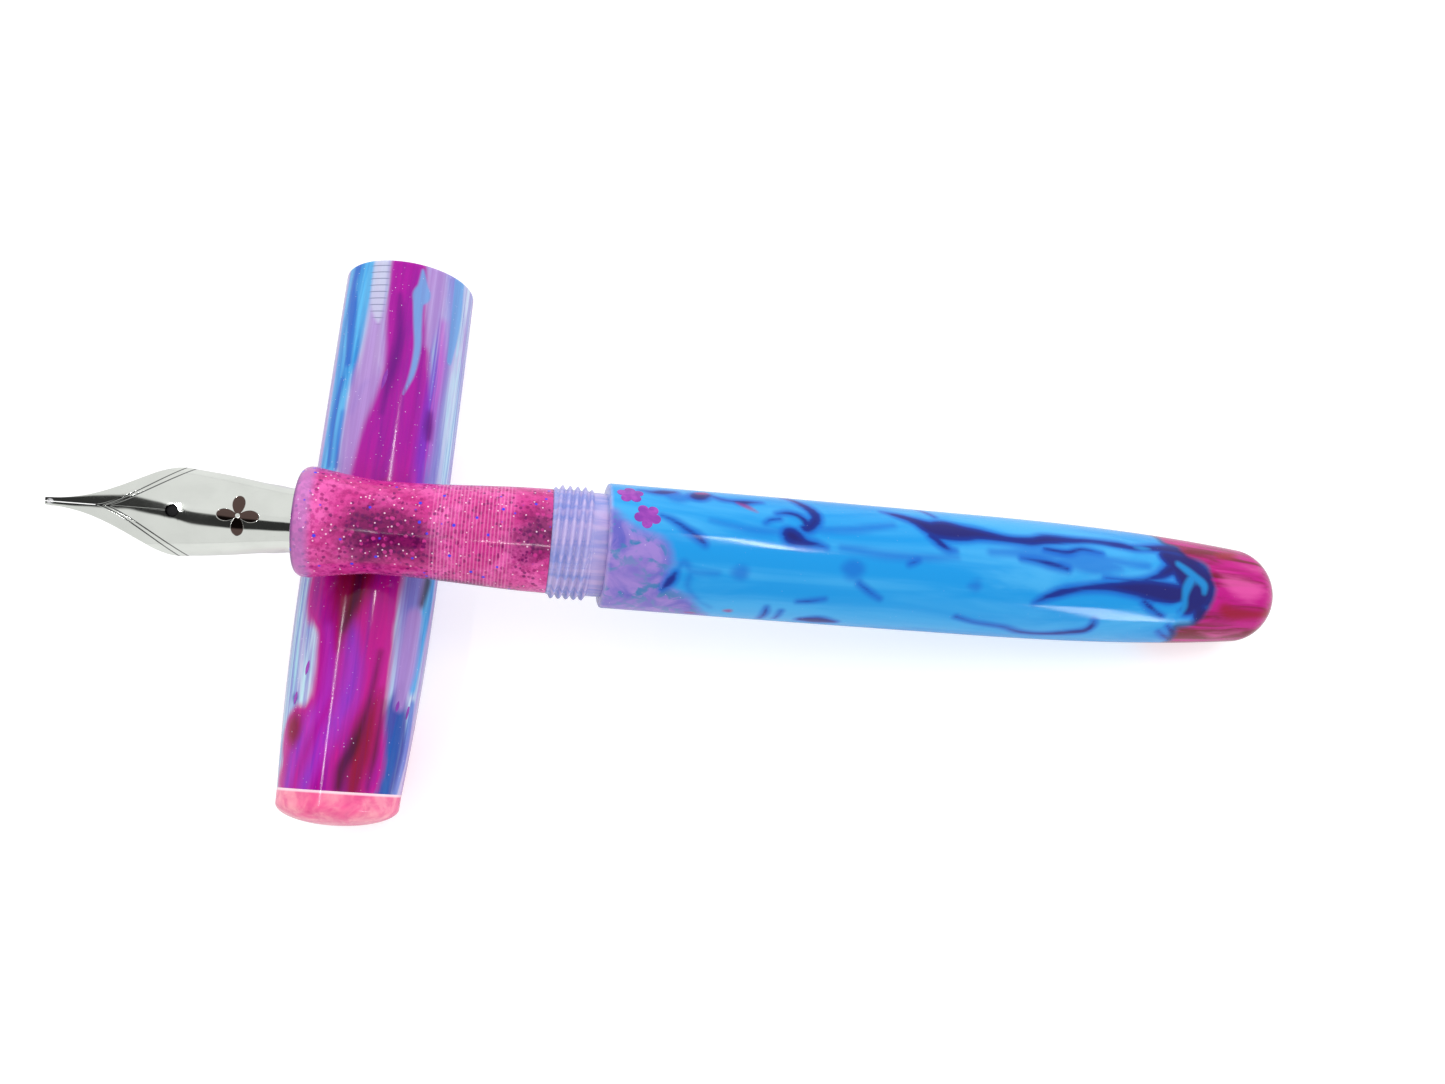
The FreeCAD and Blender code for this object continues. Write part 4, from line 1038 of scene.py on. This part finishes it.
# ---- outlines --------------------------------------------------------------------------------
def barrel_outline(pen):
    tail = pen.barrel_end - pen.dome_length
    along = np.linspace(0, 1, 90)
    drop = pen.belly_radius - pen.dome_radius
    draw_in = (pen.belly_radius - drop * (3 * along ** 2 - 2 * along ** 3)
               - BARREL_TAPER * (tail - pen.belly_station) * (along ** 3 - along ** 2))
    front = [(pen.shoulder + 0.3, pen.shoulder_radius), (pen.shoulder + 20, pen.shoulder_radius + 0.14),
             (pen.belly_station, pen.belly_radius)]
    side_points = ([tuple(p) for p in sweep(front, 200)][:-1]
                   + list(zip(pen.belly_station + along * (tail - pen.belly_station), draw_in))[:-1])
    reach = pen.dome_length * np.sin(np.linspace(0, math.pi / 2, 36))
    dome = [(tail + s,
             (pen.dome_radius - BARREL_TAPER * s) * math.sqrt(max(0.0, 1 - (s / pen.dome_length) ** 2)))
            for s in reach]
    relief = pen.thread_root - 0.05
    neck = run((pen.junction + 0.15, pen.thread_root), (pen.thread_end, pen.thread_root), 0.1)
    return ([(pen.junction, pen.socket_radius), (pen.junction, pen.thread_root - 0.15)] + neck
            + [(pen.thread_end, relief)] + run((pen.thread_end + 0.05, relief), (pen.shoulder, relief), 0.35)
            + [(pen.shoulder, relief), (pen.shoulder, pen.shoulder_radius - 0.3),
               (pen.shoulder + 0.09, pen.shoulder_radius - 0.09)] + side_points + dome[:-1]
            + [(pen.barrel_end, 0.0)])


def barrel_bore(pen):
    socket_end = pen.junction + SOCKET_DEPTH
    cone = pen.bore_end - 0.5 * pen.bore_radius
    return (run((pen.bore_end, 0.0), (cone, pen.bore_radius), 1.0)
            + run((cone, pen.bore_radius), (socket_end, pen.bore_radius), 4.0)
            + [(socket_end, pen.bore_radius), (socket_end, pen.socket_radius),
               (pen.junction, pen.socket_radius)])


def section_outline(pen):
    lip = [(pen.face + pen.lip_length * (1 - math.cos(a)) * 0.8,
            pen.face_radius + (pen.lip_radius - pen.face_radius) * math.sin(a))
           for a in np.linspace(0, math.pi / 2, 12)]
    side = [(pen.face + pen.lip_length, pen.lip_radius), (pen.face + 3.2, pen.lip_radius - 0.30),
            (pen.waist_station - 2.2, pen.waist_radius + 0.06), (pen.waist_station, pen.waist_radius),
            (pen.waist_station + 5, pen.waist_radius + 0.17),
            (pen.junction - 4, pen.section_rear_radius - 0.12), (pen.junction, pen.section_rear_radius)]
    tenon = pen.junction + TENON_LENGTH
    return ([(pen.face, SECTION_FACE_BORE)] + lip[:-1] + [tuple(p) for p in sweep(side, 90)]
            + [(pen.junction, TENON_RADIUS)]
            + run((pen.junction + 0.1, TENON_RADIUS), (tenon, TENON_RADIUS), 0.1)
            + [(tenon, TENON_RADIUS), (tenon, SECTION_REAR_BORE), (SECTION_BORE_END + 0.3, SECTION_REAR_BORE),
               (SECTION_BORE_END, SECTION_BORE), (SECTION_BORE_START, SECTION_BORE),
               (SECTION_BORE_START, SECTION_FACE_BORE), (pen.face, SECTION_FACE_BORE)])


def cap_outline(cap, length):
    drop = cap.radius - cap.tail_radius
    reach = cap.taper_start - cap.finial_length
    bend = (reach ** 2 + drop ** 2) / (2 * drop)
    taper = [(s, cap.radius - bend + math.sqrt(bend ** 2 - (cap.taper_start - s) ** 2))
             for s in np.linspace(cap.finial_length, cap.taper_start, 98)]
    rim = length - cap.mouth_round
    rounding = [(rim + cap.mouth_round * math.sin(a), cap.radius - cap.mouth_round * (1 - math.cos(a)))
                for a in np.linspace(0, math.pi / 2, 6)]
    return ([(cap.finial_length, cap.spigot_radius)] + taper[:-1]
            + run((cap.taper_start, cap.radius), (rim, cap.radius), 0.25) + rounding
            + [(length, cap.thread_major), (cap.thread_end, cap.thread_major - 0.05)]
            + run((cap.thread_end - 0.02, cap.thread_minor), (cap.thread_start, cap.thread_minor), 0.1)
            + run((cap.thread_start, cap.bore_radius), (cap.bore_step, cap.bore_radius), 4.0)
            + run((cap.bore_step - 0.9, cap.nose_radius), (cap.bore_bottom + 0.6, cap.nose_radius), 4.0)
            + [(cap.bore_bottom + 0.6, cap.nose_radius), (cap.bore_bottom, cap.nose_radius - 0.6),
               (cap.bore_bottom, 0.0)])


def finial_outline(cap):
    side = cap.finial_length - cap.finial_side
    radius = cap.tail_radius - 0.06
    dome = [(side * (1 - math.cos(a)), radius * math.sin(a)) for a in np.linspace(0, math.pi / 2, 26)]
    return (dome + run((side + 0.1, radius), (cap.finial_length, cap.tail_radius), 0.2)
            + [(cap.finial_length, cap.tail_radius), (cap.finial_length, cap.spigot_radius),
               (cap.spigot_end, cap.spigot_radius), (cap.spigot_end, 0.0)])


# ---- pieces ----------------------------------------------------------------------------------
class PenOperator(bpy.types.Operator):
    """What the operators of the pen share."""
    bl_options = {"REGISTER", "UNDO"}


class PEN_OT_barrel(PenOperator):
    """Turn the barrel with its threaded neck, and stir its colours"""
    bl_idname = "pen.barrel"
    bl_label = "Barrel"

    def execute(self, context):
        pen = context.scene.pen_sizes
        outline = barrel_outline(pen) + barrel_bore(pen)
        piece = turned("barrel_turned", outline, PEN, 192)
        cut_thread(piece.data, PEN, pen.thread_start - 0.2, pen.thread_end, pen.thread_root,
                   pen.thread_height, pen.thread_pitch, pen.thread_lead)
        stirred(piece, PEN, pen.belly_radius - 0.15, BARREL_RIBBONS, BARREL_PATCHES, BARREL_SWIRLS)
        finish_piece(piece, barrel_resin(context.scene.pen_colours), "barrel", "barrel_resin", "barrel")
        return {"FINISHED"}


class PEN_OT_section(PenOperator):
    """Turn the section that is held, with the tenon that screws into the barrel"""
    bl_idname = "pen.section"
    bl_label = "Section"

    def execute(self, context):
        pen = context.scene.pen_sizes
        piece = turned("section_turned", section_outline(pen), PEN, 144)
        cut_thread(piece.data, PEN, pen.junction + 0.5, pen.junction + TENON_LENGTH - 0.3, TENON_RADIUS,
                   TENON_THREAD, pen.thread_pitch, pen.thread_pitch)
        stirred(piece, PEN, SECTION_MEAN_RADIUS, {}, SECTION_PATCHES, {})
        finish_piece(piece, section_resin(context.scene.pen_colours), "section", "section_resin", "section")
        return {"FINISHED"}


class PEN_OT_cap(PenOperator):
    """Turn the cap with the thread in its mouth, and pull its colours along it"""
    bl_idname = "pen.cap"
    bl_label = "Cap"

    def execute(self, context):
        cap = context.scene.cap_sizes
        outline = cap_outline(cap, CAP_LENGTH) + [(cap.spigot_end, 0.0), (cap.spigot_end, cap.spigot_radius),
                                                  (cap.finial_length, cap.spigot_radius)]
        piece = turned("cap_turned", outline, CAP, 180)
        pen = context.scene.pen_sizes
        cut_thread(piece.data, CAP, cap.thread_start, cap.thread_end, cap.thread_minor,
                   cap.thread_major - cap.thread_minor - 0.05, pen.thread_pitch, pen.thread_lead)
        stirred(piece, CAP, cap.radius, CAP_RIBBONS, CAP_PATCHES, CAP_SWIRLS)
        finish_piece(piece, cap_resin(context.scene.pen_colours), "cap", "cap_resin", "cap_body")
        return {"FINISHED"}


class PEN_OT_finial(PenOperator):
    """Turn the finial that closes the cap"""
    bl_idname = "pen.finial"
    bl_label = "Finial"

    def execute(self, context):
        cap = context.scene.cap_sizes
        piece = turned("finial_turned", finial_outline(cap), CAP, 144)
        stirred(piece, CAP, cap.tail_radius, {"speckle": CAP_RIBBONS["speckle"]}, {}, {})
        finish_piece(piece, finial_resin(), "cap", "finial_resin", "cap_finial")
        return {"FINISHED"}


def pen_matrix():
    """Pen-local millimetres to the row frame, with the roll of the nib."""
    rows = PEN.rows().transposed()
    return (Matrix.Translation(PEN.start) @ (rows * MM).to_4x4()
            @ Matrix.Rotation(math.radians(-NIB_ROLL_DEG), 4, "X"))


def bent_half(sizes):
    """Half of the nib's sheet, bent to its rows, its inner edge along the slit and the breather hole."""
    hole = sizes.breather_at - sizes.breather_radius * np.cos(np.linspace(0, math.pi, 25))
    station = np.concatenate([np.linspace(0, hole[0], 150)[:-1], hole,
                              np.linspace(hole[-1], sizes.length, 200)[1:]])
    rows = sweep(NIB_ROWS, 12 * (len(NIB_ROWS) - 1) + 1)
    half_width, bend = (np.interp(station, rows[:, 0], rows[:, k]) for k in (1, 2))
    rise = np.interp(station, rows[:, 0], rows[:, 3]) * (sizes.base_radius - sizes.tip_height)
    crown = sizes.tip_height + rise
    wrapping = np.clip((station - WRAP_START) / (sizes.straight_at + 1.2 - WRAP_START), 0, 1)
    wrapping = wrapping * wrapping * (3 - 2 * wrapping)
    reach = np.arcsin(np.clip(half_width / bend, 0, 0.999))
    reach = reach + (sizes.wrap - reach) * wrapping
    inner = np.where(station < sizes.breather_at, sizes.slit_half, 0.0)
    round_hole = np.sqrt(np.clip(sizes.breather_radius ** 2 - (station - sizes.breather_at) ** 2, 0, None))
    inner = np.arcsin(np.maximum(inner, round_hole) / bend)
    across = SHEET_COLUMNS
    deselect()
    bpy.ops.mesh.primitive_grid_add(x_subdivisions=len(station) - 1, y_subdivisions=across, size=2)
    piece = bpy.context.object
    flat = read_points(piece.data)
    row = np.clip(np.rint((flat[:, 0] + 1) / 2 * (len(station) - 1)).astype(int), 0, len(station) - 1)
    column = np.rint((flat[:, 1] + 1) / 2 * across).astype(int)
    share = np.concatenate([[0.0, 0.012], np.linspace(0.05, 0.95, across - 3), [0.988, 1.0]])[column]
    turn = inner[row] + (reach[row] - inner[row]) * share
    height = crown[row] - bend[row] * (1 - np.cos(turn))
    write_points(piece.data, np.stack([station[row], bend[row] * np.sin(turn), height], 1))
    return piece


class PEN_OT_nib(PenOperator):
    """Bend the slit and pierced nib from its sheet, and weld the tipping to its point"""
    bl_idname = "pen.nib"
    bl_label = "Nib"

    def execute(self, context):
        sizes = context.scene.nib_sizes
        piece = bent_half(sizes)
        piece.name = piece.data.name = "nib_bent"
        apply_modifier(piece, "Other half", "MIRROR", use_axis=(False, True, False), merge_threshold=0.002)
        face_outward(piece)
        if piece.data.polygons[len(piece.data.polygons) // 2].normal.z < 0:
            piece.data.flip_normals()
        apply_modifier(piece, "Sheet", "SOLIDIFY", thickness=sizes.sheet, offset=-1.0)
        apply_modifier(piece, "Eased edges", "BEVEL", width=0.035, segments=2, limit_method="ANGLE",
                       angle_limit=math.radians(50))
        piece.data.transform(pen_matrix())
        bpy.ops.object.shade_smooth_by_angle(angle=math.radians(40))
        finish_piece(piece, nib_steel(sizes), "nib_and_feed", "polished_steel", "nib")
        self.weld_tipping(sizes)
        return {"FINISHED"}

    def weld_tipping(self, sizes):
        """A drawn-out pellet, cut by the slit."""
        deselect()
        bpy.ops.mesh.primitive_uv_sphere_add(
            segments=48, ring_count=24, radius=1.0,
            location=(0.5 * sizes.tipping_length + 0.02, 0, sizes.tip_height - 0.26))
        pellet = bpy.context.object
        pellet.name = pellet.data.name = "tipping_pellet"
        pellet.scale = (0.5 * sizes.tipping_length, sizes.tipping_radius, sizes.tipping_radius)
        bpy.ops.object.transform_apply(location=True, scale=True)
        bpy.ops.object.mode_set(mode="EDIT")
        bpy.ops.mesh.select_all(action="SELECT")
        bpy.ops.mesh.bisect(plane_co=(0, sizes.slit_half, 0), plane_no=(0, 1, 0), use_fill=True,
                            clear_inner=True)
        bpy.ops.object.mode_set(mode="OBJECT")
        apply_modifier(pellet, "Other half", "MIRROR", use_axis=(False, True, False))
        pellet.data.transform(pen_matrix())
        bpy.ops.object.shade_smooth_by_angle(angle=math.radians(40))
        material = polished_steel("Tipping Alloy", (0.74, 0.74, 0.76, 1.0), 0.16)
        finish_piece(pellet, material, "nib_and_feed", "tipping_alloy", "nib_tipping")


class PEN_OT_flakes(PenOperator):
    """Lay the foil flowers and slivers in the skin of the barrel and the cap"""
    bl_idname = "pen.flakes"
    bl_label = "Foil Flakes"

    # Flowers are (station, degrees, turn), slivers are (station, degrees, length).
    FLOWERS = [(55.7, 42.6, 20), (57.4, 17.4, 50)]
    FLOWER_RADIUS = 1.42
    SLIVERS = [(68.3, 36.0, 1.9), (66.9, -71.7, 0.9)]
    SLIVER_HALF_WIDTH = 0.22
    THICKNESS = 0.03
    PROUD = 0.012       # how far the middle of a flake lies above the skin
    CAP_SLIVERS = [(47.9, 3, 2.6), (15.9, -29.7, 1.6), (12.8, -40.3, 1.5), (12.7, 55.2, 1.2), (12.3, 70, 1.8)]

    def execute(self, context):
        foil = flake_foil()
        flowers = [self.lay(PEN, 6.655, place, degrees, turn, self.flower, 80)
                   for place, degrees, turn in self.FLOWERS]
        slivers = [self.lay(PEN, 6.70, place, degrees, 12, self.sliver(length), 40)
                   for place, degrees, length in self.SLIVERS]
        self.join(flowers + slivers, "barrel_flakes_foil", foil, "barrel", "barrel_flakes")
        on_cap = [self.lay(CAP, self.cap_radius(context.scene.cap_sizes, place), place, degrees, 8,
                           self.sliver(length), 40) for place, degrees, length in self.CAP_SLIVERS]
        self.join(on_cap, "cap_flakes_foil", foil, "cap", "cap_flakes")
        return {"FINISHED"}

    @staticmethod
    def cap_radius(cap, station):
        drop = cap.radius - cap.tail_radius
        share = max(0.0, cap.taper_start - station) / (cap.taper_start - cap.finial_length)
        return cap.radius - drop * share ** 2

    def flower(self, bearing):
        """The edge of a flower of five petals."""
        petal = self.FLOWER_RADIUS * (0.62 + 0.38 * np.abs(np.cos(2.5 * bearing)) ** 0.7)
        return petal * np.cos(bearing), petal * np.sin(bearing)

    def sliver(self, length):
        def shape(bearing):
            swing = np.sin(bearing)
            return 0.5 * length * np.cos(bearing), self.SLIVER_HALF_WIDTH * swing * np.abs(swing)
        return shape

    def lay(self, lathe, radius, station, degrees, turn, shape, corners):
        """A thin flake of a shape, bent round the lathe's axis."""
        deselect()
        bpy.ops.mesh.primitive_circle_add(vertices=corners, radius=1.0, fill_type="TRIFAN")
        flake = bpy.context.object
        bpy.ops.object.mode_set(mode="EDIT")
        bpy.ops.mesh.select_all(action="SELECT")
        bpy.ops.mesh.subdivide(number_cuts=3)
        face_outward(flake)
        flat = read_points(flake.data)
        bearing = np.arctan2(flat[:, 1], flat[:, 0])
        reach = np.hypot(flat[:, 0], flat[:, 1])
        along, across = shape(bearing)
        angle = math.radians(turn)
        x = reach * (along * math.cos(angle) - across * math.sin(angle))
        y = reach * (along * math.sin(angle) + across * math.cos(angle))
        proud = np.full(len(x), radius + self.PROUD)
        lathe.write(flake.data, station + x, proud, degrees + np.degrees(y / radius))
        apply_modifier(flake, "Foil", "SOLIDIFY", thickness=self.THICKNESS * MM, offset=0.0)
        return flake

    def join(self, flakes, name, material, body, node):
        deselect()
        for flake in flakes:
            flake.select_set(True)
        bpy.context.view_layer.objects.active = flakes[0]
        bpy.ops.object.join()
        piece = bpy.context.object
        piece.name = piece.data.name = name
        face_outward(piece)
        finish_piece(piece, material, body, "flake_foil", node)


class PEN_OT_converter(PenOperator):
    """Turn the converter's tube, sleeve and seal, and finish the feed, housing, knob and rod"""
    bl_idname = "pen.converter"
    bl_label = "Converter and Feed"

    def execute(self, context):
        tube = [(41.04, 1.43), (41.04, 3.3), (41.13, 3.51), (41.34, 3.6)]
        tube += run((41.34, 3.6), (88.04, 3.6), 3.0) + [(88.04, 3.6), (88.04, 3.1)]
        tube += run((88.0, 3.1), (46.64, 3.1), 3.0)
        tube += [(46.64, 3.1), (46.04, 1.73), (46.04, 1.43), (41.04, 1.43)]
        clear = {"Coat Weight": 0.0, "Transmission Weight": 0.92, "IOR": 1.49}
        plastic = moulded("Clear Plastic", (0.93, 0.95, 0.97, 1.0), 0.06, extra=clear)
        self.turn("converter_tube", tube, plastic, "converter", "clear_plastic")
        sleeve = [(84.04, 3.61), (84.04, 3.82), (84.08, 3.90), (84.16, 3.94)]
        sleeve += run((84.16, 3.94), (96.92, 3.94), 1.0)
        sleeve += [(96.92, 3.94), (97.0, 3.90), (97.04, 3.82), (97.04, 3.61), (84.04, 3.61)]
        self.turn("converter_sleeve", sleeve, polished_steel("Sleeve Metal", (0.83, 0.83, 0.85, 1.0), 0.12),
                  "converter", "bright_metal")
        lip = 3.09
        seal = [(48.64, 0.0), (49.14, lip - 0.5), (49.3, lip - 0.08), (49.4, lip), (49.74, lip),
                (50.14, lip - 0.35), (51.54, lip - 0.35), (51.84, lip), (52.34, lip), (52.64, lip - 0.4),
                (52.64, 0.9), (50.24, 0.9), (50.24, 0.0)]
        self.turn("piston_seal", seal, moulded("Seal Plastic", (0.02, 0.02, 0.022, 1.0), 0.45), "piston",
                  "seal_plastic", 72)
        dull = {"Coat Weight": 0.0, "Specular IOR Level": 0.12}
        ebonite = moulded("Feed Plastic", (0.012, 0.012, 0.013, 1.0), 0.45, 5.0, dull)
        dress("feed", ebonite)
        black = moulded("Black Plastic", (0.014, 0.014, 0.016, 1.0), 0.26)
        for node in ("nib_housing", "converter_guide", "converter_knob"):
            dress(node, black)
        dress("piston_rod", moulded("Rod Plastic", (0.55, 0.56, 0.58, 1.0), 0.3))
        return {"FINISHED"}

    def turn(self, node, outline, material, body, slot, steps=96):
        """Turn a piece that stands for the working part of the same name."""
        finish_piece(turned(node + "_turned", outline, PEN, steps), material, body, slot, node)


# ---- studio ------------------------------------------------------------------------------------
class PEN_OT_studio(PenOperator):
    """Set up the white floor, the soft room, the lamps and the camera"""
    bl_idname = "pen.studio"
    bl_label = "Studio"

    # Long lamps: name, centre and direction in millimetres, length, width, radiance.
    LAMPS = [("Right lamp", (228, 131, 600), (95, -247, 0), 150, 24, 40.0),
             ("Left lamp", (-266, -22, 600), (0, 1, 0), 190, 12, 44.0),
             ("Near lamp", (44, -265, 600), (1, 0.2, 0), 150, 12, 38.0)]
    FLOOR_GLOW = 0.5
    FLOOR_MIRRORED = 0.05
    # The room as the pen mirrors it, with a dark slanted band in it.
    NEAR_MIRRORED = 0.74
    FAR_MIRRORED = 0.78
    BAND_SLOPE = 1.17
    BAND_OFFSET = 0.66
    BAND_LOWEST = 0.4
    BAND_DARKNESS = 0.96

    def execute(self, context):
        studio = context.scene.studio_settings
        self.lay_floor()
        self.light_room(context, studio)
        for name, centre, along, length, width, radiance in self.LAMPS:
            self.hang_lamp(name, Vector(centre) * MM, Vector(along), (0, 0, -1), length * MM, width * MM,
                           radiance * studio.lamp_strength)
        self.hang_lamp("Window", Vector((523, -643, 150)) * MM, Vector((80, 46, 0)), (-0.63, 0.77, -0.08),
                       92 * MM, 300 * MM, 11.0 * studio.lamp_strength)
        camera = add_object("Camera", bpy.data.cameras.new("Camera"))
        camera.location = CAP_MOUTH + Vector(studio.camera_place)
        camera.rotation_euler = studio.camera_turn
        camera.data.lens = studio.camera_lens
        camera.data.clip_start = 0.005
        context.scene.camera = camera
        context.scene.view_settings.view_transform = "Standard"
        return {"FINISHED"}

    def lay_floor(self):
        deselect()
        bpy.ops.mesh.primitive_plane_add(size=6.0)
        floor = bpy.context.object
        floor.name = "floor"
        material, tree, surface = new_material("White Floor")
        place = add_node(tree, "ShaderNodeTexCoord").outputs["Object"]
        paper = noise(tree, place, 40.0, 3.0).outputs[0]
        white = mix(tree, paper, (0.66, 0.66, 0.66, 1.0), (0.69, 0.69, 0.69, 1.0))
        mirrored = add_node(tree, "ShaderNodeLightPath").outputs["Is Glossy Ray"]
        glow = calculate(tree, "MULTIPLY_ADD", mirrored, self.FLOOR_MIRRORED - self.FLOOR_GLOW,
                         self.FLOOR_GLOW)
        fill(tree, surface, {"Base Color": white, "Roughness": 0.9, "Specular IOR Level": 0.0,
                             "Emission Color": (1, 1, 1, 1), "Emission Strength": glow})
        floor.data.materials.append(material)

    def light_room(self, context, studio):
        """A bright room on one side and a dim one on the other, white where the camera sees it."""
        world = bpy.data.worlds.new("Room")
        context.scene.world = world
        world.use_nodes = True
        tree = world.node_tree
        tree.nodes.clear()
        looking = add_node(tree, "ShaderNodeTexCoord").outputs["Generated"]
        x, y, z = add_node(tree, "ShaderNodeSeparateXYZ", {0: looking}).outputs
        side = ease(tree, y, -0.06, -0.03)
        rays = add_node(tree, "ShaderNodeLightPath").outputs
        room = calculate(tree, "MULTIPLY_ADD", side, studio.far_sky - studio.near_sky, studio.near_sky)
        mirrored = calculate(tree, "MULTIPLY_ADD", side, self.FAR_MIRRORED - self.NEAR_MIRRORED,
                             self.NEAR_MIRRORED)
        slant = calculate(tree, "MULTIPLY_ADD", x, self.BAND_SLOPE, y)
        slant = calculate(tree, "ABSOLUTE", calculate(tree, "ADD", slant, self.BAND_OFFSET))
        band = calculate(tree, "MULTIPLY", ease(tree, slant, 0.27, 0.19), ease(tree, x, 0.20, 0.10))
        band = calculate(tree, "MULTIPLY", band, calculate(tree, "GREATER_THAN", z, self.BAND_LOWEST))
        shade = calculate(tree, "MULTIPLY_ADD", band, -self.BAND_DARKNESS, 1.0)
        mirrored = calculate(tree, "MULTIPLY", mirrored, shade)
        strength = calculate(tree, "MULTIPLY", room, calculate(tree, "SUBTRACT", 1.0, rays["Is Glossy Ray"]))
        strength = calculate(tree, "MULTIPLY_ADD", mirrored, rays["Is Glossy Ray"], strength)
        strength = calculate(tree, "MAXIMUM", strength, rays["Is Camera Ray"])
        background = add_node(tree, "ShaderNodeBackground", {"Color": (1, 1, 1, 1), "Strength": strength})
        add_node(tree, "ShaderNodeOutputWorld", {0: background.outputs[0]})

    def hang_lamp(self, name, centre, along, facing, length, width, radiance):
        """A rectangular lamp with its long side along one way and its light another."""
        lamp = bpy.data.lights.new(name, "AREA")
        lamp.shape = "RECTANGLE"
        lamp.size, lamp.size_y = length, width
        lamp.energy = math.pi * length * width * radiance
        back = -Vector(facing).normalized()
        right = along.normalized()
        up = back.cross(right).normalized()
        right = up.cross(back)
        turn = Matrix((right, up, back)).transposed().to_4x4()
        add_object(name, lamp).matrix_world = Matrix.Translation(centre) @ turn


class PEN_PT_pieces(bpy.types.Panel):
    """Lists the pieces of the pen"""
    bl_idname = "PEN_PT_pieces"
    bl_label = "Resin Fountain Pen"
    bl_space_type = "VIEW_3D"
    bl_region_type = "UI"
    bl_category = "Pen"

    def draw(self, context):
        for operator in PIECES:
            self.layout.operator(operator.bl_idname)
        for settings in SETTINGS:
            box = self.layout.box()
            for name in SETTINGS[settings].__annotations__:
                box.prop(getattr(context.scene, settings), name)


PIECES = [PEN_OT_studio, PEN_OT_barrel, PEN_OT_section, PEN_OT_cap, PEN_OT_finial, PEN_OT_nib, PEN_OT_flakes,
          PEN_OT_converter]
SETTINGS = {"pen_sizes": PenSizes, "cap_sizes": CapSizes, "nib_sizes": NibSizes, "pen_colours": ResinColours,
            "studio_settings": StudioSettings}


def register():
    for kind in [*SETTINGS.values(), *PIECES, PEN_PT_pieces]:
        bpy.utils.register_class(kind)
    for name, kind in SETTINGS.items():
        setattr(bpy.types.Scene, name, bpy.props.PointerProperty(type=kind))


def unregister():
    for name in SETTINGS:
        delattr(bpy.types.Scene, name)
    for kind in [PEN_PT_pieces, *reversed(PIECES), *reversed(SETTINGS.values())]:
        bpy.utils.unregister_class(kind)


def main():
    register()
    for operator in PIECES:
        family, name = operator.bl_idname.split(".")
        getattr(getattr(bpy.ops, family), name)()


if __name__ == "__main__":
    main()
